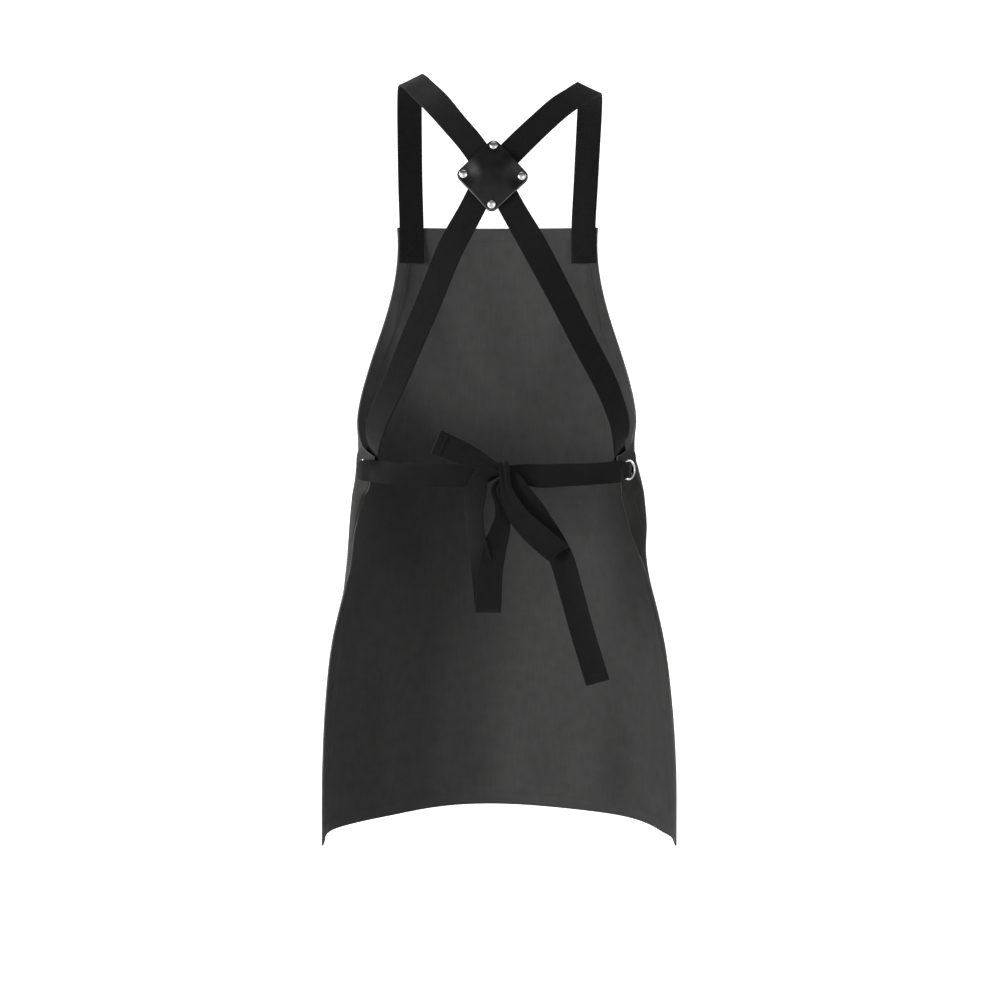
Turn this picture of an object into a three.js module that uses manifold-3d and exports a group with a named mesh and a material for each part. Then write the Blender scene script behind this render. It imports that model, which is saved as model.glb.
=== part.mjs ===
// Barber apron with straps crossed on the back, as it hangs when worn. Millimetres, Z up.
// +X is the wearer's right, +Y the way the wearer faces, and the origin lies between the shoulder tops.
import * as THREE from "three";
import { mergeVertices } from "three/addons/utils/BufferGeometryUtils.js";
import Module from "manifold-3d";

const wasm = await Module();
wasm.setup();

// Driving sizes
const CLOTH_THICK = 1.4;
const STRAP_WIDE = 31;
const STRAP_THICK = 1.6;
const CROSSING_WIDE = 29;
const LEATHER_THICK = 2;
const BIB_TOP = -165;
const BIB_ANGLE = 37;
const BIB_SWEEP = 68;
const WAIST_CORNER = -441;
const HEM = -914.5;
const HEM_RISE = 17.5;
const SIDE_ANGLE = 90;
const EDGE_ANGLE = 120;
const RING_HEIGHT = -457;
const RING_ANGLE = 113.4;
const RING_SPAN = 6;
const RING_HOLE = 9.6;
const RING_OUTER = 12.7;
const CLOTH_HOLE = 10.9;
const RING_WALL = 0.8;
const RING_BEAD = 1.3;
const RING_FLAT = [22, 30];
const RING_CLOSE = 1.45;
const PATCH_CENTRE = [-5.4, -118.7];
const PATCH_TURN = -2;
const PATCH_CORNER = 43.5;
const PATCH_ROUND = 8;
const PATCH_BLANK = 45;
const PATCH_LIFT = 9.2;
const PATCH_DOME = 2.5;
const PINCH_RADIUS = 14;
const RIVET_REACH = 32.3;
const RIVET_RADIUS = 5;
const RIVET_RIM = 0.7;
const RIVET_DOME = 2.1;
const SHANK_RADIUS = 1.8;
const BURR_RADIUS = 4;
const BURR_THICK = 1;
const GAP = 0.5;

// Fineness of the faceted bodies
const BIB_ROWS = 13;
const SKIRT_ROWS = 18;
const STRAP_STEPS = 2;
const STRAP_ACROSS = 3;
const PATCH_STEPS = 9;
const CORNER_STEPS = 5;
const SHANK_SIDES = 12;
const RIVET_SIDES = 16;
const RING_SIDES = 24;
const DOME_STEPS = 4;
const BEAD_STEPS = 4;

// Level sections of the panel: height, half breadth, front depth, depth of the broadest point,
// where the back edge lies, how far the section hangs to one side,
// and how sharply it turns in to the back edge.
const SECTIONS = [
  { z: -165, breadth: 205, front: 112, side: 0, edgeX: 150, edgeY: -50, sway: 0, round: 2 },
  { z: -300, breadth: 186, front: 118, side: 0, edgeX: 145, edgeY: -50, sway: 0, round: 2 },
  { z: -400, breadth: 167, front: 125, side: 0, edgeX: 142, edgeY: -50, sway: -1, round: 2 },
  { z: -446, breadth: 164.4, front: 128, side: 0, edgeX: 143, edgeY: -49, sway: -2, round: 3.5 },
  { z: -480, breadth: 169.2, front: 130, side: 0, edgeX: 150, edgeY: -44, sway: 0.2, round: 6 },
  { z: -520, breadth: 174.6, front: 133, side: 2, edgeX: 161, edgeY: -37, sway: 1, round: 6 },
  { z: -560, breadth: 177.4, front: 137, side: 6, edgeX: 171.5, edgeY: -29, sway: 0, round: 6 },
  { z: -604, breadth: 184.8, front: 141, side: 12, edgeX: 184.4, edgeY: -20, sway: 0.8, round: 5 },
  { z: -664, breadth: 199, front: 148, side: 20, edgeX: 198.8, edgeY: -12, sway: 0.8, round: 4 },
  { z: -740, breadth: 208.6, front: 156, side: 28, edgeX: 208.4, edgeY: -6, sway: 1.4, round: 3 },
  { z: -820, breadth: 213.6, front: 163, side: 35, edgeX: 213.4, edgeY: -2, sway: 2, round: 2 },
  { z: -912, breadth: 214.8, front: 170, side: 42, edgeX: 214.6, edgeY: 0, sway: 2, round: 2 },
];

// From the rings down both back edges lean to one side: how far, and the heights where that starts, is full,
// fades and ends.
const EDGE_LEAN = { most: -6.8, start: -436, full: -506, fade: -524, end: -580 };

// Drape folds of the skirt: where on the section, how wide in degrees, how deep at the hem, where it starts.
const FOLDS = [
  { angle: -72, spread: 13, depth: 5, top: -560 },
  { angle: -40, spread: 15, depth: -6, top: -500 },
  { angle: -14, spread: 12, depth: 4, top: -620 },
  { angle: 20, spread: 14, depth: -5, top: -540 },
  { angle: 48, spread: 14, depth: 6, top: -500 },
  { angle: 76, spread: 11, depth: -4, top: -600 },
];

// Rivets: which way from the patch centre, in degrees up from the right,
// and how far apart the leathers lie there.
const RIVETS = [
  { name: "rivet_top", way: 90, grip: 7 },
  { name: "rivet_right", way: 0, grip: 5.6 },
  { name: "rivet_bottom", way: 270, grip: 7.6 },
  { name: "rivet_left", way: 180, grip: 5.6 },
];

// Strap rows: a point on the middle line, the way the outer face looks
// (turn from -Y towards +X, then tilt up), the width, and the curl across the width in degrees.
const row = (x, y, z, turn, tilt, wide = STRAP_WIDE, curl = 0) => ({ x, y, z, turn, tilt, wide, curl });

// Lie of the back about the patch: depth at its centre, lean, and roundness up and across
const BACK = { depth: -119.9, lean: 0.11, roundUp: 0.0026, roundOut: 0.0019 };

function backDepth(x, z) {
  const up = z - PATCH_CENTRE[1];
  const out = x - PATCH_CENTRE[0];
  return BACK.depth + BACK.lean * up + BACK.roundUp * up * up + BACK.roundOut * out * out;
}

function backFacing(x, z) {
  const slopeX = 2 * BACK.roundOut * (x - PATCH_CENTRE[0]);
  const slopeZ = BACK.lean + 2 * BACK.roundUp * (z - PATCH_CENTRE[1]);
  return new THREE.Vector3(slopeX, -1, slopeZ).normalize();
}

// Strap row that follows the back at a distance
function crossing(x, z, inward) {
  const facing = backFacing(x, z);
  const turn = THREE.MathUtils.radToDeg(Math.atan2(facing.x, -facing.y));
  const tilt = THREE.MathUtils.radToDeg(Math.asin(facing.z));
  return row(x, backDepth(x, z) + inward, z, turn, tilt, CROSSING_WIDE);
}

// From the left bib corner over the left shoulder to the right side
const LEFT_OVER = [
  row(-106, 91.4, -208, -162, 2),
  row(-106, 92.2, -186, -162, 2),
  row(-106, 91.6, -160, -162, 5),
  row(-107, 86, -115, -162, 14),
  row(-107, 68, -58, -160, 30),
  row(-106, 40, -17, -150, 52),
  row(-104, 8, 3.4, -110, 62),
  row(-98, -22, -0.6, -50, 58),
  row(-87, -45, -13, -28, 45),
  row(-70, -74, -32, -20, 35),
  row(-50, -97, -57, -14, 26, 29),
  crossing(-31, -80, 1.4),
  crossing(-19, -97, 0),
  crossing(-6, -115, -0.7),
  crossing(6, -136, -0.2),
  crossing(19, -159, 0.8),
  row(40, -118.5, -195, 11, -6),
  row(75, -105, -259, 22, -8),
  row(99, -92.5, -305, 27, -8),
  row(124.5, -77.5, -352, 31, -4),
  row(135, -69, -376, 34, 0),
  row(143.5, -58, -402, 40, 0),
  row(145, -49.5, -424, 48, 0, 29),
];

// From the right bib corner over the right shoulder to the left side
const RIGHT_OVER = [
  row(106, 91.4, -208, 162, 2),
  row(106, 92.2, -186, 162, 2),
  row(106, 91.6, -160, 162, 5),
  row(108, 84, -117, 162, 14),
  row(110, 66, -66, 160, 30),
  row(111, 38, -26, 150, 52),
  row(110, 6, -6, 110, 62),
  row(103, -24, -11, 50, 58),
  row(91, -48, -21, 30, 45, 29.5),
  row(73, -71, -35, 22, 35, 29),
  row(49.2, -95, -58, 15, 26, 28.5),
  crossing(27, -80, 2.2),
  crossing(10.6, -97, 2.1),
  crossing(-7, -115, 2.1),
  crossing(-19, -137, 2.1),
  crossing(-31, -160, 1.8),
  row(-54, -115.5, -202, -15, -6),
  row(-78, -104, -259, -22, -8),
  row(-103, -90, -316, -28, -8),
  row(-118, -80, -351, -31, -4),
  row(-130.5, -70, -377, -34, 0),
  row(-141.5, -58, -402, -40, 0),
  row(-146.5, -49.5, -424, -48, 0, 29),
];

// Waist tie on the left side, mirrored for the right; the face looks at the wearer
const TIE = [
  row(-143, -58.5, -457.6, 124, -12, 26, 40),
  row(-118, -73.5, -459, 141, -20, 27, 50),
  row(-80, -87, -460, 158, -20, 28, 40),
  row(-48, -94, -461, 170, -14, 28, 30),
];

// Strap through a ring: along the cloth towards the back edge, out of the cloth, height, half turns, width.
// On the right it is drawn tight against the back of the ring; on the left it bulges over the ring.
const RING_PASS = {
  right: [
    { back: 2.8, out: -10, z: -440, halfTurns: 0, wide: 26 },
    { back: -2.5, out: -9.5, z: -450, halfTurns: 0.1, wide: 20 },
    { back: -4.5, out: -7, z: -456.5, halfTurns: 0.4, wide: 12.5 },
    { back: -1.5, out: 0, z: -457, halfTurns: 0.72, wide: 12.5 },
    { back: 4.5, out: 6.2, z: -457, halfTurns: 1, wide: 16 },
    { back: 16, out: 5.8, z: -457, halfTurns: 1, wide: 23 },
  ],
  left: [
    { back: 2.8, out: -10, z: -440, halfTurns: 0, wide: 26 },
    { back: 1.5, out: -8.5, z: -450, halfTurns: 0, wide: 20 },
    { back: 0, out: -6, z: -456.5, halfTurns: 0.15, wide: 15 },
    { back: -2, out: 0, z: -457, halfTurns: 0.45, wide: 13 },
    { back: -6.5, out: 6.3, z: -457, halfTurns: 0.75, wide: 17 },
    { back: 2.5, out: 9, z: -457, halfTurns: 1, wide: 23 },
    { back: 16, out: 6.4, z: -457, halfTurns: 1, wide: 26 },
  ],
};

// Bow end of the left strap: behind the wrap, left loop, then the long tail
const LEFT_BOW = [
  row(29, -97, -458.5, -176, -4, 23),
  row(13, -100.9, -455, 180, 0, 13),
  row(0, -101.4, -454.5, 180, 0, 12),
  row(-11, -102, -456.5, 176, 4, 14),
  row(-19, -103.4, -462, 160, 4, 20),
  row(-25, -106.5, -478, 160, 0, 26, 30),
  row(-28, -108, -500, 142, 0, 29, 45),
  row(-27, -107.5, -524, 137, 0, 30, 50),
  row(-22, -106, -548, 144, 0, 30, 40),
  row(-16, -104.2, -577, 160, 0, 30, 20),
  row(-12, -103, -604, 174, 0, 30),
  row(-11, -104.5, -614.5, 180, -35, 30),
  row(-10.8, -108, -618.5, 180, -90, 30),
  row(-10.6, -111.5, -614.5, 0, -35, 30),
  row(-10.2, -112.6, -604, 0, 0, 30),
  row(-8, -111.5, -569, 5, 0, 29, 10),
  row(-3.5, -109.5, -545, 12, 0, 28, 20),
  row(3, -107.5, -523, 16, 0, 24, 30),
  row(6, -105.5, -506, 12, 0, 18, 20),
  row(3, -103.8, -490, 4, 0, 14),
  row(-1, -102.4, -477.5, 0, 0, 12),
  row(2, -101.6, -470, 0, 0, 11),
  row(9, -101.4, -468, 0, 0, 12),
  row(16, -101.8, -473, 0, 0, 16),
  row(25, -102.2, -484, 0, 0, 22),
  row(37, -101.6, -499, 0, 0, 27, 20),
  row(50, -101, -516, 0, 0, 29, 30),
  row(73, -100.5, -554, -8, 0, 29, 30),
  row(85, -101, -593, -14, 0, 29, 30),
  row(98, -103, -640, -16, 0, 29, 25),
  row(116.5, -106, -700.5, -14, 0, 29, 20),
];

// Bow end of the right strap: up behind the knot, wrap, right loop, then the short tail
const RIGHT_BOW = [
  row(-20, -96.5, -461, 178, -4, 21),
  row(-5, -96.4, -458, 180, 0, 14),
  row(4, -96.6, -452.5, 180, 8, 12),
  row(6.4, -98, -446.4, 180, 50, 12),
  row(7, -104.5, -444, 180, 90, 12),
  row(7.2, -110.6, -447, 0, 50, 12),
  row(8, -112.4, -454, 0, 6, 12),
  row(8.6, -113, -466, 0, -2, 12),
  row(11, -114, -478, -4, 0, 15),
  row(17, -115.5, -493, -10, 0, 20, 20),
  row(26, -117, -508, -12, 0, 25, 25),
  row(40, -118, -523, -10, 0, 28, 20),
  row(57, -117.6, -538, -6, 0, 29, 10),
  row(66, -116.4, -545.4, 0, 0, 29),
  row(70.5, -112.4, -549.2, 51, -50, 29),
  row(67.5, -108.2, -546, 180, 0, 29),
  row(58, -107.4, -533, 183, 0, 29),
  row(46, -107, -507, 184, 0, 27, 10),
  row(31, -106.4, -484, 182, 0, 22),
  row(19, -105.8, -464, 178, 0, 16),
  row(9, -105.6, -456, 180, 0, 13),
  row(-3, -105.8, -451, 180, 0, 13),
  row(-17, -106.6, -444.5, 178, -4, 19),
  row(-36, -108, -436, 174, -8, 26, 20),
  row(-54, -109, -428, 172, -8, 28, 25),
  row(-71, -110, -420.5, 172, -6, 28, 15),
];

const lerp = (a, b, t) => a + (b - a) * t;
const smooth = (lo, hi, v) => THREE.MathUtils.smoothstep(v, lo, hi);
const rad = THREE.MathUtils.degToRad;

// Smooth interpolation of every column of a table along its knots
function blend(rows, knots, at) {
  const last = rows.length - 1;
  let i = 0;
  while (i < last - 1 && at > knots[i + 1]) i += 1;
  const span = knots[i + 1] - knots[i];
  const t = (at - knots[i]) / span;
  const slope = (k, column) => {
    const before = Math.max(k - 1, 0);
    const after = Math.min(k + 1, last);
    const left = k > 0 ? (rows[k][column] - rows[before][column]) / (knots[k] - knots[before]) : null;
    const right = k < last ? (rows[after][column] - rows[k][column]) / (knots[after] - knots[k]) : null;
    if (left === null) return right;
    if (right === null) return left;
    const wl = knots[after] - knots[k];
    const wr = knots[k] - knots[before];
    return (left * wl + right * wr) / (wl + wr);
  };
  const out = {};
  for (const column of Object.keys(rows[0])) {
    const a = rows[i][column];
    const b = rows[i + 1][column];
    const t2 = t * t;
    const t3 = t2 * t;
    out[column] =
      (2 * t3 - 3 * t2 + 1) * a +
      (t3 - 2 * t2 + t) * span * slope(i, column) +
      (3 * t2 - 2 * t3) * b +
      (t3 - t2) * span * slope(i + 1, column);
  }
  return out;
}

// Closed slab of even thickness about a grid of points
function slab(grid, thick) {
  const rows = grid.length;
  const cols = grid[0].length;
  const positions = [];
  for (const side of [0.5, -0.5]) {
    for (let r = 0; r < rows; r += 1) {
      for (let c = 0; c < cols; c += 1) {
        const along = grid[Math.min(r + 1, rows - 1)][c].clone().sub(grid[Math.max(r - 1, 0)][c]);
        const across = grid[r][Math.min(c + 1, cols - 1)].clone().sub(grid[r][Math.max(c - 1, 0)]);
        const normal = along.cross(across).normalize();
        positions.push(...grid[r][c].clone().addScaledVector(normal, side * thick).toArray());
      }
    }
  }
  const index = [];
  const quad = (a, b, c, d) => index.push(a, b, c, a, c, d);
  const top = (r, c) => r * cols + c;
  const under = (r, c) => rows * cols + r * cols + c;
  for (let r = 0; r < rows - 1; r += 1) {
    for (let c = 0; c < cols - 1; c += 1) {
      quad(top(r, c), top(r + 1, c), top(r + 1, c + 1), top(r, c + 1));
      quad(under(r, c), under(r, c + 1), under(r + 1, c + 1), under(r + 1, c));
    }
    quad(top(r + 1, 0), top(r, 0), under(r, 0), under(r + 1, 0));
    quad(top(r, cols - 1), top(r + 1, cols - 1), under(r + 1, cols - 1), under(r, cols - 1));
  }
  for (let c = 0; c < cols - 1; c += 1) {
    quad(top(0, c), top(0, c + 1), under(0, c + 1), under(0, c));
    quad(top(rows - 1, c + 1), top(rows - 1, c), under(rows - 1, c), under(rows - 1, c + 1));
  }
  return geometryOf(positions, index);
}

function geometryOf(positions, index) {
  const geometry = new THREE.BufferGeometry();
  geometry.setAttribute("position", new THREE.Float32BufferAttribute(positions, 3));
  geometry.setIndex(index);
  return geometry;
}

// Closed body as a solid that can be cut
function solidOf(geometry) {
  const bare = geometry.index ? geometry.toNonIndexed() : geometry.clone();
  bare.deleteAttribute("normal");
  bare.deleteAttribute("uv");
  const merged = mergeVertices(bare);
  return new wasm.Manifold(
    new wasm.Mesh({
      numProp: 3,
      vertProperties: merged.attributes.position.array,
      triVerts: new Uint32Array(merged.index.array),
    }),
  );
}

function geometryFrom(solid) {
  const mesh = solid.getMesh();
  return geometryOf(Array.from(mesh.vertProperties), Array.from(mesh.triVerts));
}

// Turn that lays the axis of a round body along a direction
const AXIS = new THREE.Vector3(0, 1, 0);
const turnTo = (direction) => new THREE.Quaternion().setFromUnitVectors(AXIS, direction);

// Solid with a round hole right through it at a place
const DRILL_LENGTH = 40;
function drilledAt(solid, place, direction, radius, sides) {
  const drill = new THREE.CylinderGeometry(radius, radius, DRILL_LENGTH, sides);
  drill.applyQuaternion(turnTo(direction)).translate(place.x, place.y, place.z);
  return solid.subtract(solidOf(drill));
}

// Panel
const sectionHeights = SECTIONS.map((section) => -section.z);

function edgeLean(z) {
  const grown = smooth(0, 1, (EDGE_LEAN.start - z) / (EDGE_LEAN.start - EDGE_LEAN.full));
  const faded = smooth(0, 1, (EDGE_LEAN.fade - z) / (EDGE_LEAN.fade - EDGE_LEAN.end));
  return EDGE_LEAN.most * grown * (1 - faded);
}

function drapedPoint(angle, z, lean) {
  const section = blend(SECTIONS, sectionHeights, -z);
  const turn = Math.abs(angle);
  const back = Math.max(0, (turn - SIDE_ANGLE) / (EDGE_ANGLE - SIDE_ANGLE));
  const turnedIn = back ** section.round;
  const point = new THREE.Vector3(0, 0, z);
  if (turn <= SIDE_ANGLE) {
    point.x = section.breadth * Math.sin(rad(turn));
    point.y = lerp(section.side, section.front, Math.cos(rad(turn)));
  } else {
    point.x = lerp(section.breadth, section.edgeX, turnedIn);
    point.y = lerp(section.side, section.edgeY, back);
  }
  for (const fold of FOLDS) {
    const away = (angle - fold.angle) / fold.spread;
    const drop = smooth(0, 1, (fold.top - z) / (fold.top - HEM));
    const push = fold.depth * drop * Math.exp(-away * away);
    point.x += push * Math.sin(rad(turn));
    point.y += push * Math.cos(rad(turn));
  }
  const aside = section.sway + lean * turnedIn;
  point.x = aside + (angle < 0 ? -point.x : point.x);
  return point;
}

// Seat of a ring in the panel: its centre, the outward axis, and the way along the cloth to the back edge
function ringSeat(side) {
  const fore = drapedPoint(side * (RING_ANGLE - RING_SPAN), RING_HEIGHT, 0);
  const aft = drapedPoint(side * (RING_ANGLE + RING_SPAN), RING_HEIGHT, 0);
  const centre = fore.clone().lerp(aft, 0.5);
  const toEdge = aft.sub(fore).normalize();
  const outward = new THREE.Vector3(-side * toEdge.y, side * toEdge.x, 0);
  return { centre, toEdge, outward };
}

const SEATS = { left: ringSeat(-1), right: ringSeat(1) };

// The cloth lies flat about each ring, and for a shorter way along the waist than up and down
function panelPoint(angle, z) {
  const point = drapedPoint(angle, z, edgeLean(z));
  for (const { centre, toEdge, outward } of [SEATS.left, SEATS.right]) {
    const apart = point.clone().sub(centre);
    const along = RING_CLOSE * apart.dot(toEdge);
    const off = apart.dot(outward);
    const reach = (along ** 4 + apart.z ** 4 + off ** 4) ** 0.25;
    const flat = 1 - smooth(RING_FLAT[0], RING_FLAT[1], reach);
    point.addScaledVector(outward, -flat * off);
  }
  return point;
}

const HALF_COLUMNS = [0, 0.085, 0.17, 0.255, 0.34, 0.425, 0.51, 0.595, 0.68, 0.77, 0.89, 0.948, 1];
const COLUMNS = [...HALF_COLUMNS.slice(1).map((share) => -share).reverse(), ...HALF_COLUMNS];

function panelGrid() {
  const grid = [];
  for (let r = 0; r < BIB_ROWS; r += 1) {
    const sweep = rad((r / BIB_ROWS) * BIB_SWEEP);
    const edge = lerp(BIB_ANGLE, EDGE_ANGLE, (1 - Math.cos(sweep)) / (1 - Math.cos(rad(BIB_SWEEP))));
    const z = lerp(BIB_TOP, WAIST_CORNER, Math.sin(sweep) / Math.sin(rad(BIB_SWEEP)));
    grid.push(COLUMNS.map((share) => panelPoint(share * edge, z)));
  }
  for (let r = 0; r <= SKIRT_ROWS; r += 1) {
    const drop = r / SKIRT_ROWS;
    grid.push(
      COLUMNS.map((share) => {
        const angle = share * EDGE_ANGLE;
        const rise = Math.abs(angle) < SIDE_ANGLE ? HEM_RISE * Math.cos(rad(angle)) ** 2 : 0;
        return panelPoint(angle, lerp(WAIST_CORNER, HEM + rise, drop));
      }),
    );
  }
  return grid;
}

// Straps
function ringRows(side) {
  const place = side < 0 ? "left" : "right";
  const { centre, toEdge, outward } = SEATS[place];
  const turn = THREE.MathUtils.radToDeg(Math.atan2(outward.x, -outward.y));
  return RING_PASS[place].map(({ back, out, z, halfTurns, wide }) => {
    const point = centre.clone().addScaledVector(toEdge, back).addScaledVector(outward, out);
    return row(point.x, point.y, z, turn - side * halfTurns * 180, 0, wide);
  });
}

const mirrored = (rows) => rows.map((r) => ({ ...r, x: -r.x, turn: -r.turn }));

const FLAT_CURL = 0.02;
function strapGrid(rows, stepsPerRow, across) {
  const face = rows.map((r) => {
    const level = Math.cos(rad(r.tilt));
    return [level * Math.sin(rad(r.turn)), -level * Math.cos(rad(r.turn)), Math.sin(rad(r.tilt))];
  });
  const table = rows.map((r, i) => ({
    x: r.x, y: r.y, z: r.z, nx: face[i][0], ny: face[i][1], nz: face[i][2], wide: r.wide, curl: r.curl,
  }));
  const knots = [0];
  for (let i = 1; i < rows.length; i += 1) {
    const step = Math.hypot(rows[i].x - rows[i - 1].x, rows[i].y - rows[i - 1].y, rows[i].z - rows[i - 1].z);
    knots.push(knots[i - 1] + Math.sqrt(step));
  }
  const stations = [];
  for (let i = 0; i < rows.length - 1; i += 1) {
    for (let k = 0; k < stepsPerRow; k += 1) {
      stations.push(blend(table, knots, lerp(knots[i], knots[i + 1], k / stepsPerRow)));
    }
  }
  stations.push(table[table.length - 1]);
  const points = stations.map((s) => new THREE.Vector3(s.x, s.y, s.z));
  return stations.map((s, i) => {
    const ahead = points[Math.min(i + 1, points.length - 1)];
    const along = ahead.clone().sub(points[Math.max(i - 1, 0)]).normalize();
    const out = new THREE.Vector3(s.nx, s.ny, s.nz);
    out.addScaledVector(along, -out.dot(along)).normalize();
    const cross = along.clone().cross(out);
    const curl = rad(s.curl);
    const line = [];
    for (let j = 0; j <= across; j += 1) {
      const share = j / across - 0.5;
      const point = points[i].clone();
      if (curl < FLAT_CURL) {
        point.addScaledVector(cross, share * s.wide);
      } else {
        const radius = s.wide / curl;
        const middle = (radius * Math.sin(curl / 2)) / (curl / 2);
        point.addScaledVector(cross, radius * Math.sin(share * curl));
        point.addScaledVector(out, middle - radius * Math.cos(share * curl));
      }
      line.push(point);
    }
    return line;
  });
}

const strap = (rows) => drilled(solidOf(slab(strapGrid(rows, STRAP_STEPS, STRAP_ACROSS), STRAP_THICK)));

// Leather patches
function patchGrid(lift) {
  const grid = [];
  for (let i = 0; i <= PATCH_STEPS; i += 1) {
    const line = [];
    for (let j = 0; j <= PATCH_STEPS; j += 1) {
      const a = (i / PATCH_STEPS - 0.5) * PATCH_BLANK;
      const b = (j / PATCH_STEPS - 0.5) * PATCH_BLANK;
      const right = b - a;
      const up = a + b;
      const x = PATCH_CENTRE[0] + right;
      const z = PATCH_CENTRE[1] + up;
      line.push(new THREE.Vector3(x, backDepth(x, z) + lift(right, up), z));
    }
    grid.push(line);
  }
  return grid;
}

// Rounded diamond prism that trims a patch to its outline
const TRIM_DEPTH = 80;
function patchOutline() {
  const reach = PATCH_CORNER - PATCH_ROUND * Math.SQRT2;
  const shape = new THREE.Shape();
  for (const middle of [0, 90, 180, 270]) {
    const x = reach * Math.cos(rad(middle + PATCH_TURN));
    const z = reach * Math.sin(rad(middle + PATCH_TURN));
    shape.absarc(x, z, PATCH_ROUND, rad(middle + PATCH_TURN - 45), rad(middle + PATCH_TURN + 45), false);
  }
  const options = { depth: TRIM_DEPTH, curveSegments: CORNER_STEPS, bevelEnabled: false };
  const prism = new THREE.ExtrudeGeometry(shape, options);
  prism.rotateX(rad(90)).translate(PATCH_CENTRE[0], BACK.depth + TRIM_DEPTH / 2, PATCH_CENTRE[1]);
  return solidOf(prism);
}

// Place of a rivet from the patch centre
function rivetOffset(spot) {
  const angle = rad(spot.way + PATCH_TURN);
  return { right: RIVET_REACH * Math.cos(angle), up: RIVET_REACH * Math.sin(angle) };
}

// The outer leather is drawn in about each rivet
const INNER_DEPTH = 4.6;
const innerLift = () => INNER_DEPTH;
function outerLift(right, up) {
  const full = PATCH_LIFT + PATCH_DOME * (1 - (right ** 2 + up ** 2) / PATCH_CORNER ** 2);
  let lift = full;
  for (const spot of RIVETS) {
    const offset = rivetOffset(spot);
    const away = Math.hypot(right - offset.right, up - offset.up) / PINCH_RADIUS;
    lift -= (full - spot.grip) * Math.exp(-(away ** 3));
  }
  return INNER_DEPTH - lift;
}

function rivetSeat(spot) {
  const offset = rivetOffset(spot);
  const x = PATCH_CENTRE[0] + offset.right;
  const z = PATCH_CENTRE[1] + offset.up;
  const place = new THREE.Vector3(x, backDepth(x, z) + INNER_DEPTH, z);
  return { place, axis: backFacing(x, z) };
}

// The solid with a hole for each rivet shank
function drilled(solid) {
  for (const spot of RIVETS) {
    const { place, axis } = rivetSeat(spot);
    solid = drilledAt(solid, place, axis, SHANK_RADIUS + GAP, SHANK_SIDES);
  }
  return geometryFrom(solid);
}

const patch = (lift) => drilled(solidOf(slab(patchGrid(lift), LEATHER_THICK)).intersect(patchOutline()));

// Quarter round from the rim of a cap up to its middle
function dome(radius, base, rise, steps) {
  const points = [];
  for (let k = 0; k < steps; k += 1) {
    const lift = rad((k / steps) * 90);
    points.push([radius * Math.cos(lift), base + rise * Math.sin(lift)]);
  }
  points.push([0, base + rise]);
  return points;
}

function lathe(profile, sides) {
  const line = profile.map(([radius, height]) => new THREE.Vector2(radius, height));
  return new THREE.LatheGeometry(line, sides);
}

function rivet(spot) {
  const seat = spot.grip + LEATHER_THICK / 2 + GAP;
  const under = -LEATHER_THICK / 2 - GAP;
  const profile = [
    [0, under - BURR_THICK],
    [BURR_RADIUS, under - BURR_THICK],
    [BURR_RADIUS, under],
    [SHANK_RADIUS, under],
    [SHANK_RADIUS, seat],
    [RIVET_RADIUS, seat],
    ...dome(RIVET_RADIUS, seat + RIVET_RIM, RIVET_DOME, DOME_STEPS),
  ];
  return lathe(profile, RIVET_SIDES);
}

// Ring of a side corner: a flat washer inside the cloth and a rounded bead outside
function grommet() {
  const lip = CLOTH_THICK / 2 + GAP;
  const middle = (RING_HOLE + RING_OUTER) / 2;
  const half = (RING_OUTER - RING_HOLE) / 2;
  const bead = [];
  for (let k = 0; k <= BEAD_STEPS; k += 1) {
    const lift = rad((k / BEAD_STEPS) * 180);
    bead.push([middle + half * Math.cos(lift), lip + RING_WALL + (RING_BEAD - RING_WALL) * Math.sin(lift)]);
  }
  const profile = [
    [RING_HOLE, -lip - RING_WALL],
    [RING_OUTER - RING_WALL / 2, -lip - RING_WALL],
    [RING_OUTER - RING_WALL / 2, -lip],
    [RING_HOLE + RING_WALL, -lip],
    [RING_HOLE + RING_WALL, lip],
    [RING_OUTER, lip],
    ...bead,
    [RING_HOLE, -lip - RING_WALL],
  ];
  return lathe(profile, RING_SIDES);
}

function panel() {
  let solid = solidOf(slab(panelGrid(), CLOTH_THICK));
  for (const { centre, outward } of [SEATS.left, SEATS.right]) {
    solid = drilledAt(solid, centre, outward, CLOTH_HOLE, RING_SIDES);
  }
  return geometryFrom(solid);
}

const cloth = new THREE.MeshStandardMaterial({ color: 0x3a3a38, roughness: 0.95 });
const webbing = new THREE.MeshStandardMaterial({ color: 0x1f2020, roughness: 0.9 });
const leather = new THREE.MeshStandardMaterial({ color: 0x1c1b1b, roughness: 0.5 });
const nickel = new THREE.MeshStandardMaterial({ color: 0xc8c8c8, roughness: 0.25, metalness: 1 });

const apron = new THREE.Group();
function add(name, geometry, material) {
  const mesh = new THREE.Mesh(geometry, material);
  mesh.name = name;
  apron.add(mesh);
  return mesh;
}

function addStood(name, geometry, material, place, direction) {
  const mesh = add(name, geometry, material);
  mesh.position.copy(place);
  mesh.quaternion.copy(turnTo(direction));
}

add("apron_panel", panel(), cloth);
add("strap_left", strap([...LEFT_OVER, ...ringRows(1), ...mirrored(TIE), ...LEFT_BOW]), webbing);
add("strap_right", strap([...RIGHT_OVER, ...ringRows(-1), ...TIE, ...RIGHT_BOW]), webbing);
add("patch_outer", patch(outerLift), leather);
add("patch_inner", patch(innerLift), leather);
for (const spot of RIVETS) {
  const { place, axis } = rivetSeat(spot);
  addStood(spot.name, rivet(spot), nickel, place, axis);
}
addStood("grommet_left", grommet(), nickel, SEATS.left.centre, SEATS.left.outward);
addStood("grommet_right", grommet(), nickel, SEATS.right.centre, SEATS.right.outward);

export default apron;
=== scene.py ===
"""Barber apron as worn: fine cloth, webbing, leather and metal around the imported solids, in metres."""

import math

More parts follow.
